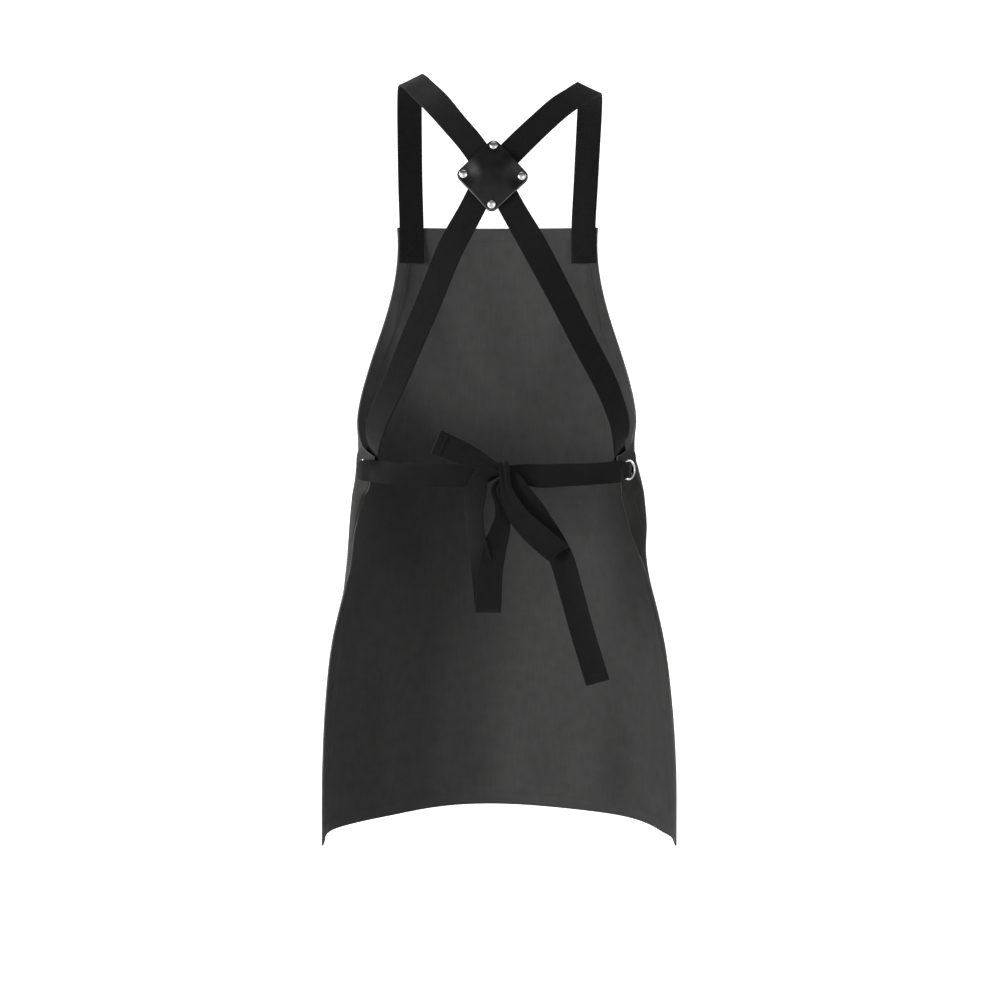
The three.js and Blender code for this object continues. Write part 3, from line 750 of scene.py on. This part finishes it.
class Panel:
    """The panel's grid: middle surface, outward facing, place on the flat cloth, distance to the edge."""

    def __init__(self):
        angle, z = panel_lines()
        points = panel_points(angle, z)
        self.s = self.flat_across(points)
        self.z = z
        self.edge = edge_distance(self.s, z)
        facing = self.facings(points)
        calm = np.ones_like(z)
        for centre, _, _ in SEATS.values():
            calm *= smooth(*RING_CALM, np.linalg.norm(points - centre, axis=-1))
        lift = creases(self.s, z, points) * calm * smooth(*EDGE_CALM, self.edge)
        self.points = points + facing * lift[..., None]
        self.facing = self.facings(self.points)
        turned = 1 - smooth(SEAM_WIDE - SEAM_SLOPE, SEAM_WIDE + SEAM_SLOPE, self.edge)
        self.seam = SEAM_DEEP * turned * calm

    @staticmethod
    def flat_across(points):
        step = np.linalg.norm(np.diff(points, axis=1), axis=-1)
        run = np.concatenate([np.zeros((len(points), 1)), np.cumsum(step, 1)], 1)
        return run - run[:, [PANEL_COLUMNS // 2]]

    @staticmethod
    def facings(points):
        return unit(np.cross(np.gradient(points, axis=1), np.gradient(points, axis=0)))

    def outer(self):
        return self.points + self.facing * CLOTH_THICK / 2

    def inner(self):
        return self.points - self.facing * (CLOTH_THICK / 2 + self.seam)[..., None]


def grid_faces(rows, columns, first, flip):
    r, c = np.meshgrid(np.arange(rows - 1), np.arange(columns - 1), indexing="ij")
    a = first + (r * columns + c).ravel()
    quads = np.stack([a, a + columns, a + columns + 1, a + 1], -1)
    return quads[:, ::-1] if flip else quads


# How far the fold of an edge stands out, in cloth thicknesses
FOLD_OUT = 0.6


def make_panel(panel):
    rows, columns = panel.z.shape
    outer = panel.outer().reshape(-1, 3)
    inner = panel.inner().reshape(-1, 3)
    count = rows * columns
    loop = rim_loop(rows, columns)
    along = unit(np.roll(outer[loop], -1, 0) - np.roll(outer[loop], 1, 0))
    outside = unit(np.cross(along, panel.facing.reshape(-1, 3)[loop]))
    middle = (outer[loop] + inner[loop]) / 2
    inward = panel.points[rows // 2, columns // 2] - middle
    outside *= np.where((outside * inward).sum(-1) > 0, -1, 1)[:, None]
    fold = middle + outside * CLOTH_THICK * FOLD_OUT
    flat = np.stack([panel.s, panel.z], -1).reshape(-1, 2)
    points = np.concatenate([outer, inner, fold])
    uv = np.concatenate([flat, flat, flat[loop]])
    skin = grid_faces(rows, columns, 0, False)
    lining = grid_faces(rows, columns, count, True)
    here = np.arange(len(loop))
    then = np.roll(here, -1)
    # The fold faces of the rim take the canvas with the painted highlight (material 2)
    front = np.stack([loop[here], loop[then], 2 * count + then, 2 * count + here], -1)
    back = np.stack([2 * count + here, 2 * count + then, count + loop[then], count + loop[here]], -1)
    faces = np.concatenate([skin, lining, front, back])[:, ::-1]
    # Material 1, the inside, is the canvas in a painted-light tone
    index = np.repeat([0, 1, 2, 2], [len(skin), len(lining), len(front), len(back)])
    piece = mesh_piece("panel", points, faces, [CANVAS, CANVAS_INSIDE_PAINTED_LIGHT, CANVAS_EDGE_HIGHLIGHT], index, uv)
    for centre, _, outward in SEATS.values():
        cut_hole(piece, centre, outward)
    return piece


HOLE_SIDES = 48
DRILL_LONG = 30


def cut_hole(piece, centre, outward):
    """A round hole through the cloth for a ring."""
    bpy.ops.mesh.primitive_cylinder_add(vertices=HOLE_SIDES, radius=CLOTH_HOLE * MM, depth=DRILL_LONG * MM)
    drill = bpy.context.object
    drill.location = Vector(centre * MM)
    drill.rotation_mode = "QUATERNION"
    drill.rotation_quaternion = Vector(outward).to_track_quat("Z", "Y")
    drill.data.materials.append(CANVAS)
    bpy.context.view_layer.update()
    cutter = piece.modifiers.new("hole", "BOOLEAN")
    cutter.operation = "DIFFERENCE"
    cutter.solver = "EXACT"
    cutter.object = drill
    bpy.context.view_layer.objects.active = piece
    bpy.ops.object.modifier_apply(modifier=cutter.name)
    bpy.data.objects.remove(drill)


# Straps: half of a cross-section, edge to middle, as shares of the width and of the thickness
STRAP_HALF = np.array([
    (-0.5, 0.25),
    (-0.494, 0.7),
    (-0.478, 0.98),
    (-0.455, 1.08),
    (-0.4, 1),
    (-0.3, 0.96),
    (-0.2, 0.95),
    (-0.1, 0.95),
    (0, 0.95),
])
ACROSS = np.concatenate([STRAP_HALF[:, 0], -STRAP_HALF[-2::-1, 0]])
BODY_SHARE = np.concatenate([STRAP_HALF[:, 1], STRAP_HALF[-2::-1, 1]])
STATION_STEP = 2.4
STATION_APART = 0.3

# Pleats of a gathered strap: depth, number across, drift along it, width lost before they start
PLEAT_DEEP = 3.0
PLEATS = 1.75
PLEAT_DRIFT = 0.05
PLEAT_START = 4
MOST_GATHER = 0.6
GATHER_POWER = 1.5

# Turned hem at a strap's tail: height in thicknesses, length of its step, length of the rounded ends
HEM_HIGH = 0.75
HEM_STEP = 0.6
ROUND_END = 0.8
THIN_END = 0.1

# Steps used to measure a strap, half the span that gives its direction, and the least curl
LENGTH_STEPS = 4000
WAY_SPAN = 0.6
LEAST_CURL = 0.02


def ring_rows(side):
    """Rows of a strap through a ring."""
    centre, to_edge, outward = SEATS[side]
    turn = math.degrees(math.atan2(outward[0], -outward[1]))
    rows = []
    for back, out, z, half_turns, wide in RING_PASS[side]:
        x, y, _ = centre + to_edge * back + outward * out
        rows.append((x, y, z, turn - side * half_turns * 180, 0, wide))
    return rows


def mirrored(rows):
    return [(-x, y, z, -turn, *rest) for x, y, z, turn, *rest in rows]


class Strap:
    """A webbing strap along its rows, with points found by length, share of the width and side."""

    def __init__(self, rows, hem_side):
        rows = np.array([full_row(*row) for row in rows], float)
        turn, tilt = np.radians(rows[:, 3]), np.radians(rows[:, 4])
        face = np.stack([np.cos(tilt) * np.sin(turn), -np.cos(tilt) * np.cos(turn), np.sin(tilt)], -1)
        self.table = np.concatenate([rows[:, :3], face, rows[:, 5:]], 1)
        step = np.linalg.norm(np.diff(rows[:, :3], axis=0), axis=1)
        self.knots = np.concatenate([[0], np.cumsum(np.sqrt(step))])
        fine = np.linspace(0, self.knots[-1], LENGTH_STEPS)
        points = spline(self.table, self.knots, fine)[:, :3]
        run = np.concatenate([[0], np.cumsum(np.linalg.norm(np.diff(points, axis=0), axis=1))])
        self.fine, self.run = fine, run
        self.length = run[-1]
        self.hem_side = hem_side

    def row_at(self, length):
        return spline(self.table, self.knots, np.interp(length, self.run, self.fine))

    def surface(self, length, share, side, lift):
        """Points and facings of a face (side 1 outer, -1 inner) at lengths and shares of the width."""
        line = self.row_at(length)
        ahead = self.row_at(np.minimum(length + WAY_SPAN, self.length))
        behind = self.row_at(np.maximum(length - WAY_SPAN, 0))
        along = unit(ahead[:, :3] - behind[:, :3])
        out = line[:, 3:6]
        out = unit(out - along * (out * along).sum(-1, keepdims=True))
        cross = np.cross(along, out)
        wide, curl = line[:, 6], np.maximum(np.radians(line[:, 7]), LEAST_CURL)
        radius = wide / curl
        middle = radius * np.sin(curl / 2) / (curl / 2)
        bend = share * curl
        gather = np.clip((STRAP_WIDE - PLEAT_START - wide) / STRAP_WIDE, 0, MOST_GATHER)
        ripple = np.sin(2 * math.pi * PLEATS * share + PLEAT_DRIFT * length)
        pleat = PLEAT_DEEP * gather ** GATHER_POWER * ripple * (1 - 4 * share ** 2)
        facing = out * np.cos(bend)[:, None] - cross * np.sin(bend)[:, None]
        points = line[:, :3] + cross * (radius * np.sin(bend))[:, None]
        points = points + out * (middle - radius * np.cos(bend))[:, None] + facing * pleat[:, None]
        facing = facing * np.broadcast_to(side, share.shape)[:, None]
        return points + facing * lift[:, None], facing


# Extra stations about the step of the hem and at the very end, as lengths from each
STEP_STATIONS = np.array([0.4, 0, -0.5, -1.2])
END_STATIONS = np.array([1.2, 0.5, 0.15, 0])


def strap_stations(strap):
    even = np.arange(0, strap.length, STATION_STEP)
    tail = strap.length - np.concatenate([TAIL_HEM + STEP_STATIONS, END_STATIONS])
    keep = even[np.abs(even[:, None] - tail).min(1) > STATION_APART]
    return np.sort(np.concatenate([keep, tail]))


def make_strap(name, strap):
    stations = strap_stations(strap)
    ring = np.concatenate([ACROSS, ACROSS[::-1]])
    sides = np.repeat([1, -1], len(ACROSS))
    body = np.concatenate([BODY_SHARE, BODY_SHARE[::-1]]) * STRAP_THICK / 2
    length = np.repeat(stations, len(ring))
    share = np.tile(ring, len(stations))
    side = np.tile(sides, len(stations))
    lift = np.tile(body, len(stations))
    from_end = strap.length - length
    hem = (1 - smooth(TAIL_HEM - HEM_STEP, TAIL_HEM, from_end)) * smooth(0, ROUND_END, from_end)
    ends = np.sqrt(np.clip(np.minimum(from_end, length) / ROUND_END, THIN_END, 1))
    lift = lift * ends + hem * (side == strap.hem_side) * STRAP_THICK * HEM_HIGH
    points, _ = strap.surface(length, share, side, lift)
    faces = tube_faces(len(stations), len(ring), False)
    uv = np.stack([share * STRAP_WIDE, length], -1)
    return mesh_piece(name, points, faces, [WEBBING], None, uv)


# Leather patches: points of a corner's arc and of a side between two corners
CORNER_POINTS = 9
SIDE_POINTS = 8


def patch_outline():
    """Rounded diamond about the patch centre, as (right, up) points once round."""
    reach = PATCH_CORNER - PATCH_ROUND * math.sqrt(2)
    corners = []
    for middle in PATCH_TURN + np.array([0, 90, 180, 270]):
        angle = np.radians(np.linspace(middle - 45, middle + 45, CORNER_POINTS))
        centre = reach * np.array([math.cos(math.radians(middle)), math.sin(math.radians(middle))])
        corners.append(centre + PATCH_ROUND * np.stack([np.cos(angle), np.sin(angle)], -1))
    outline = []
    for k, arc in enumerate(corners):
        nearby = corners[(k + 1) % 4][0]
        share = np.linspace(0, 1, SIDE_POINTS + 2)[1:-1, None]
        outline.append(np.concatenate([arc, arc[-1] + (nearby - arc[-1]) * share]))
    return np.concatenate(outline)


def inner_lift(right, up):
    return np.full_like(right, INNER_DEPTH)


def rivet_offset(way):
    angle = math.radians(way + PATCH_TURN)
    return RIVET_REACH * math.cos(angle), RIVET_REACH * math.sin(angle)


def outer_lift(right, up):
    full = PATCH_LIFT + PATCH_DOME * (1 - (right ** 2 + up ** 2) / PATCH_CORNER ** 2)
    lift = full.copy()
    for _, way, grip in RIVETS:
        rivet_right, rivet_up = rivet_offset(way)
        away = np.hypot(right - rivet_right, up - rivet_up) / PINCH_RADIUS
        lift -= (full - grip) * np.exp(-(away ** 3))
    return INNER_DEPTH - lift


# Rings of a patch from its middle out and round the edge: share of the outline, part of the half thickness
FACE_RINGS = [(share, 1.0) for share in (0.08, 0.2, 0.32, 0.44, 0.56, 0.66, 0.75, 0.83, 0.9, 0.95)]
EDGE_RINGS = [(0.962, 0.97), (0.982, 0.75), (1.0, 0.3), (1.0, -0.5), (0.992, -0.8), (0.978, -0.96)]
BACK_RINGS = [(share, -1.0) for share in (0.95, 0.9, 0.75, 0.56, 0.32, 0.08)]
PATCH_RINGS = FACE_RINGS + EDGE_RINGS + BACK_RINGS
# Parts of the half thickness between which the edge is raw
RAW_EDGE = (0.8, -0.9)


def make_patch(name, lift):
    outline = patch_outline()
    count = len(outline)
    rings = []
    for share, part in PATCH_RINGS:
        right, up = (outline * share).T
        x, z = PATCH_X + right, PATCH_Z + up
        facing = np.stack([2 * BACK_OUT * right, -np.ones(count), BACK_LEAN + 2 * BACK_UP * up], -1)
        middle = np.stack([x, back_depth(x, z) + lift(right, up), z], -1)
        rings.append(middle + unit(facing) * part * LEATHER_THICK / 2)
    faces = tube_faces(len(rings), count, True)
    index = []
    for _, part in PATCH_RINGS[1:]:
        raw = RAW_EDGE[1] < part < RAW_EDGE[0]
        # The lighter raw cut edge is real, but it is given only on the lower half of the outline; along the
        # upper half the edge keeps the dark leather colour as painted shade
        index += [1 if raw and up < 0 else 0 for up in outline[:, 1]]
    index += [0, 0]
    return mesh_piece(name, np.concatenate(rings), faces, [LEATHER, LEATHER_EDGE], index)


# Metal
def turned_piece(name, profile, closed, place, axis, sides):
    """A body turned about an axis; the profile is (radius, height) points in millimetres."""
    profile = np.array(profile, float)
    turn = np.linspace(0, 2 * math.pi, sides, endpoint=False)
    points = np.stack([
        profile[:, None, 0] * np.cos(turn),
        profile[:, None, 0] * np.sin(turn),
        profile[:, None, 1] * np.ones(sides),
    ], -1).reshape(-1, 3)
    turned = Vector(axis).to_track_quat("Z", "Y").to_matrix()
    points = points @ np.array(turned).T + place
    return mesh_piece(name, points, tube_faces(len(profile), sides, False, closed), [NICKEL])


def arc(centre, radii, start, end, steps):
    """Points of an arc of an ellipse, angles in degrees."""
    angle = np.radians(np.linspace(start, end, steps))
    return [(centre[0] + radii[0] * math.cos(a), centre[1] + radii[1] * math.sin(a)) for a in angle]


# Rivets and rings: gap to the leather, roundings, clearance in the ring's hole, sides of the turned bodies
RIVET_GAP = 0.1
BURR_ROUND = 0.4
RIM_ROUND = 0.35
DOME_INSET = 0.1
TIP_RADIUS = 0.2
WASHER_ROUND = 0.3
WALL_INSET = 0.15
RIVET_SIDES = 48
RING_SIDES = 64


def make_rivet(name, way, grip):
    right, up = rivet_offset(way)
    x, z = PATCH_X + right, PATCH_Z + up
    place = np.array([x, back_depth(x, z) + INNER_DEPTH, z])
    seat = grip + LEATHER_THICK / 2 + RIVET_GAP
    under = -LEATHER_THICK / 2 - RIVET_GAP
    burr_centre = (BURR_RADIUS - BURR_ROUND, under - BURR_THICK / 2)
    burr = arc(burr_centre, (BURR_ROUND, BURR_THICK / 2), -90, 90, 6)
    rim = arc((RIVET_RADIUS - RIM_ROUND, seat + RIM_ROUND), (RIM_ROUND, RIM_ROUND), -90, 20, 5)
    dome = arc((0, seat + RIVET_RIM), (RIVET_RADIUS - DOME_INSET, RIVET_DOME), 4, 89, 12)
    shank = [(SHANK_RADIUS, under), (SHANK_RADIUS, seat)]
    profile = [(TIP_RADIUS, under - BURR_THICK), *burr, *shank, *rim, *dome]
    return turned_piece(name, profile, False, place, back_facing(x, z), RIVET_SIDES)


def make_ring(name, side):
    centre, _, outward = SEATS[side]
    lip = CLOTH_THICK / 2
    middle, half = (RING_HOLE + RING_OUTER) / 2, (RING_OUTER - RING_HOLE) / 2
    bead = arc((middle, lip + RING_WALL), (half, RING_BEAD), -20, 200, 14)
    washer_radii = (half - WASHER_ROUND, RING_WALL / 2 + WASHER_ROUND)
    washer = arc((middle, -lip - RING_WALL / 2), washer_radii, 180, 380, 12)
    wall = [(RING_HOLE + WALL_INSET, lip), (RING_HOLE + WALL_INSET, -lip)]
    return turned_piece(name, [*bead, *wall, *washer], True, centre, outward, RING_SIDES)


# Stitches. Rings of one stitch: place along it, share of the thread's radius, rise in radii.
STITCH_RINGS = [
    (-0.5, 0.25, -0.3),
    (-0.34, 0.85, 0.1),
    (0, 1.0, 0.25),
    (0.34, 0.85, 0.1),
    (0.5, 0.25, -0.3),
]
STITCH_SIDES = 6
THREAD_FLAT = 0.8


def stitch_mesh(name, rows, thread):
    """Short threads on a surface; each row holds places, ways along and facings in millimetres."""
    turn = np.linspace(0, 2 * math.pi, STITCH_SIDES, endpoint=False)
    tube = tube_faces(len(STITCH_RINGS), STITCH_SIDES, True)
    points = []
    faces = []
    for place, along, facing in rows:
        for p, a, n in zip(place, along, facing):
            first = len(points)
            faces += [[first + corner for corner in face] for face in tube]
            b = np.cross(n, a)
            for at, thick, rise in STITCH_RINGS:
                middle = p + a * at * STITCH_LONG + n * rise * THREAD_RADIUS
                for t in turn:
                    spoke = b * math.cos(t) + THREAD_FLAT * n * math.sin(t)
                    points.append(middle + THREAD_RADIUS * thick * spoke)
    points = np.array(points)
    return mesh_piece(name, points, faces, [thread], None, points[:, [0, 2]] + points[:, [1, 1]])


# Half the span along a line that gives a stitch its direction
STITCH_WAY = 0.5


def even_steps(line, facing, pitch):
    """Places, ways and facings at even steps along a line."""
    run = np.concatenate([[0], np.cumsum(np.linalg.norm(np.diff(line, axis=0), axis=1))])
    at = np.arange(pitch / 2, run[-1], pitch)

    def along_run(values, lengths):
        return np.stack([np.interp(lengths, run, values[:, k]) for k in range(3)], -1)

    face = unit(along_run(facing, at))
    along = along_run(line, at + STITCH_WAY) - along_run(line, at - STITCH_WAY)
    along = unit(along - face * (along * face).sum(-1, keepdims=True))
    return along_run(line, at), along, face


def stitch_place(far, order):
    """Fractional place in an order of grid lines where the edge is a stitch's distance away, or None."""
    k = int(np.argmax(far > STITCH_IN))
    if k == 0:
        return None
    t = (STITCH_IN - far[k - 1]) / (far[k] - far[k - 1])
    return order[k - 1] + (order[k] - order[k - 1]) * t


def seam_lines(panel):
    """Lines on the flat cloth that run a stitch's distance in from each edge, as fractional grid places."""
    rows, columns = panel.z.shape
    lines = []
    for order in (np.arange(columns // 2 + 1), np.arange(columns - 1, columns // 2 - 1, -1)):
        places = [(r, stitch_place(panel.edge[r, order], order)) for r in range(rows)]
        lines.append(np.array([(r, c) for r, c in places if c is not None]))
    for order in (np.arange(rows // 3), np.arange(rows - 1, rows // 2, -1)):
        places = [(stitch_place(panel.edge[order, c], order), c) for c in range(columns)]
        lines.append(np.array([(r, c) for r, c in places if r is not None]))
    return lines


def grid_at(grid, places):
    """Values of a grid at fractional (row, column) places."""
    r0 = np.clip(np.floor(places[:, 0]).astype(int), 0, grid.shape[0] - 2)
    c0 = np.clip(np.floor(places[:, 1]).astype(int), 0, grid.shape[1] - 2)
    tr, tc = (places[:, 0] - r0)[:, None], (places[:, 1] - c0)[:, None]
    upper = grid[r0, c0] * (1 - tc) + grid[r0, c0 + 1] * tc
    lower = grid[r0 + 1, c0] * (1 - tc) + grid[r0 + 1, c0 + 1] * tc
    return upper * (1 - tr) + lower * tr


def panel_stitches(panel):
    rows = []
    for places in seam_lines(panel):
        for skin, way in ((panel.outer(), 1), (panel.inner(), -1)):
            line = grid_at(skin, places)
            facing = grid_at(panel.facing, places) * way
            rows.append(even_steps(line, facing, STITCH_PITCH))
    return stitch_mesh("panel_stitches", rows, THREAD)


# Sewn box at a strap's bib end: corners as length from the end and share of the width, joined in this order
BOX_CORNERS = [
    (4, -0.42), (4, 0.42), (34, 0.42), (34, -0.42),
    (4, -0.42), (34, 0.42), (34, -0.42), (4, 0.42),
]

# Seam of a tail's hem: half its length as a share of the width, distance past the hem's step,
# points on a seam's line, and how far out of the webbing its thread lies, in half thicknesses
TAIL_SEAM = 0.44
TAIL_SEAM_PAST = 3
SEAM_POINTS = 24
SUNK_THREAD = 0.97


def face_line(strap, length, share, side, raised):
    lift = np.full_like(length, STRAP_THICK / 2 * SUNK_THREAD + raised)
    return strap.surface(length, share, side, lift)


def strap_stitches(name, strap):
    rows = []
    t = np.linspace(0, 1, SEAM_POINTS)
    for (from_length, from_share), (to_length, to_share) in zip(BOX_CORNERS, BOX_CORNERS[1:]):
        length = from_length + (to_length - from_length) * t
        share = from_share + (to_share - from_share) * t
        rows.append(even_steps(*face_line(strap, length, share, -1, 0), STITCH_PITCH))
    share = np.linspace(-TAIL_SEAM, TAIL_SEAM, SEAM_POINTS)
    hem = np.full_like(share, strap.length - TAIL_HEM + TAIL_SEAM_PAST)
    for side in (1, -1):
        raised = STRAP_THICK * HEM_HIGH if side == strap.hem_side else 0
        rows.append(even_steps(*face_line(strap, hem, share, side, raised), STITCH_PITCH))
    return stitch_mesh(name, rows, WEBBING_THREAD)


# Making the pieces, attaching each to the body and hiding the solids it replaces
def declare(piece, slot, *nodes):
    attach(piece, BODY)
    if nodes:
        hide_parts(*nodes)


PANEL = Panel()
panel_piece = make_panel(PANEL)
declare(panel_piece, "cloth", "apron_panel")
panel_thread = panel_stitches(PANEL)
declare(panel_thread, "cloth")

STRAPS = {
    "left": Strap([*LEFT_OVER, *ring_rows(1), *mirrored(TIE), *LEFT_BOW], 1),
    "right": Strap([*RIGHT_OVER, *ring_rows(-1), *TIE, *RIGHT_BOW], -1),
}
strap_pieces = {}
for side_name, strap in STRAPS.items():
    webbing = make_strap(f"webbing_{side_name}", strap)
    declare(webbing, "webbing", f"strap_{side_name}")
    thread = strap_stitches(f"webbing_{side_name}_stitches", strap)
    declare(thread, "webbing")
    strap_pieces[side_name] = (webbing, thread)

declare(make_patch("leather_outer", outer_lift), "leather", "patch_outer")
declare(make_patch("leather_inner", inner_lift), "leather", "patch_inner")
for node, way, grip in RIVETS:
    declare(make_rivet(f"{node}_cap", way, grip), "nickel", node)
declare(make_ring("ring_left", -1), "nickel", "grommet_left")
declare(make_ring("ring_right", 1), "nickel", "grommet_right")

# Each strap's webbing and thread pieces are looked up again; nothing is done with them
for side_name, strap in STRAPS.items():
    webbing, thread = strap_pieces[side_name]

# Stage: a pale round studio with a floor that curves up into its wall
FLOOR_HEIGHT = -1.45
STUDIO_RADIUS = 4.4
STUDIO_CURVE = 1.2
STUDIO_WALL = 3.2
STUDIO_SIDES = 96
CURVE_STEPS = 16


def make_studio():
    bend = np.radians(np.linspace(0, 90, CURVE_STEPS))
    inner = STUDIO_RADIUS - STUDIO_CURVE
    profile = [(inner / 2, 0.0)]
    profile += [(inner + STUDIO_CURVE * math.sin(b), STUDIO_CURVE * (1 - math.cos(b))) for b in bend]
    profile.append((STUDIO_RADIUS, STUDIO_WALL))
    turn = np.linspace(0, 2 * math.pi, STUDIO_SIDES, endpoint=False)
    points = [(r * math.cos(t), r * math.sin(t), FLOOR_HEIGHT + h) for r, h in profile for t in turn]
    open_top = tube_faces(len(profile), STUDIO_SIDES, True)[:-1]
    material, _, _ = shader_material(
        "studio_paper",
        {
            "Base Color": (0.8, 0.8, 0.8, 1),
            "Roughness": 0.95,
            "Emission Color": (1, 1, 1, 1),
            "Emission Strength": 0.82,
        },
    )
    studio = mesh_piece("studio", np.array(points) / MM, open_top, [material])
    studio.visible_diffuse = False


def make_light(name, place, aim, size, power):
    data = bpy.data.lights.new(name, "AREA")
    data.shape = "DISK"
    data.size = size
    data.energy = power
    light = bpy.data.objects.new(name, data)
    light.location = place
    way = Vector(aim) - Vector(place)
    light.rotation_euler = way.to_track_quat("-Z", "Y").to_euler()
    bpy.context.scene.collection.objects.link(light)


# Lights: name, place, point aimed at, size in metres, power in watts
LIGHTS = [
    ("side", (-2.5, 0.9, 0.25), (0, 0, -0.45), 1.2, 55),
    ("key", (-2.1, -1.8, -0.2), (0, 0, -0.5), 1.2, 90),
    ("fill", (1.6, -2.6, -0.5), (0, 0, -0.5), 1.6, 32),
    ("right", (2.5, 1.2, 0.2), (0, 0, -0.45), 1.4, 32),
    ("front", (-2.4, 1.6, 0.7), (0, 0, -0.45), 0.8, 95),
    ("top", (0, -0.3, 2.4), (0, 0, -0.5), 2.0, 18),
]
WORLD_STRENGTH = 0.28

make_studio()
for light in LIGHTS:
    make_light(*light)
world = bpy.data.worlds.new("studio_world")
world.use_nodes = True
world.node_tree.nodes["Background"].inputs["Color"].default_value = (1, 1, 1, 1)
world.node_tree.nodes["Background"].inputs["Strength"].default_value = WORLD_STRENGTH
bpy.context.scene.world = world
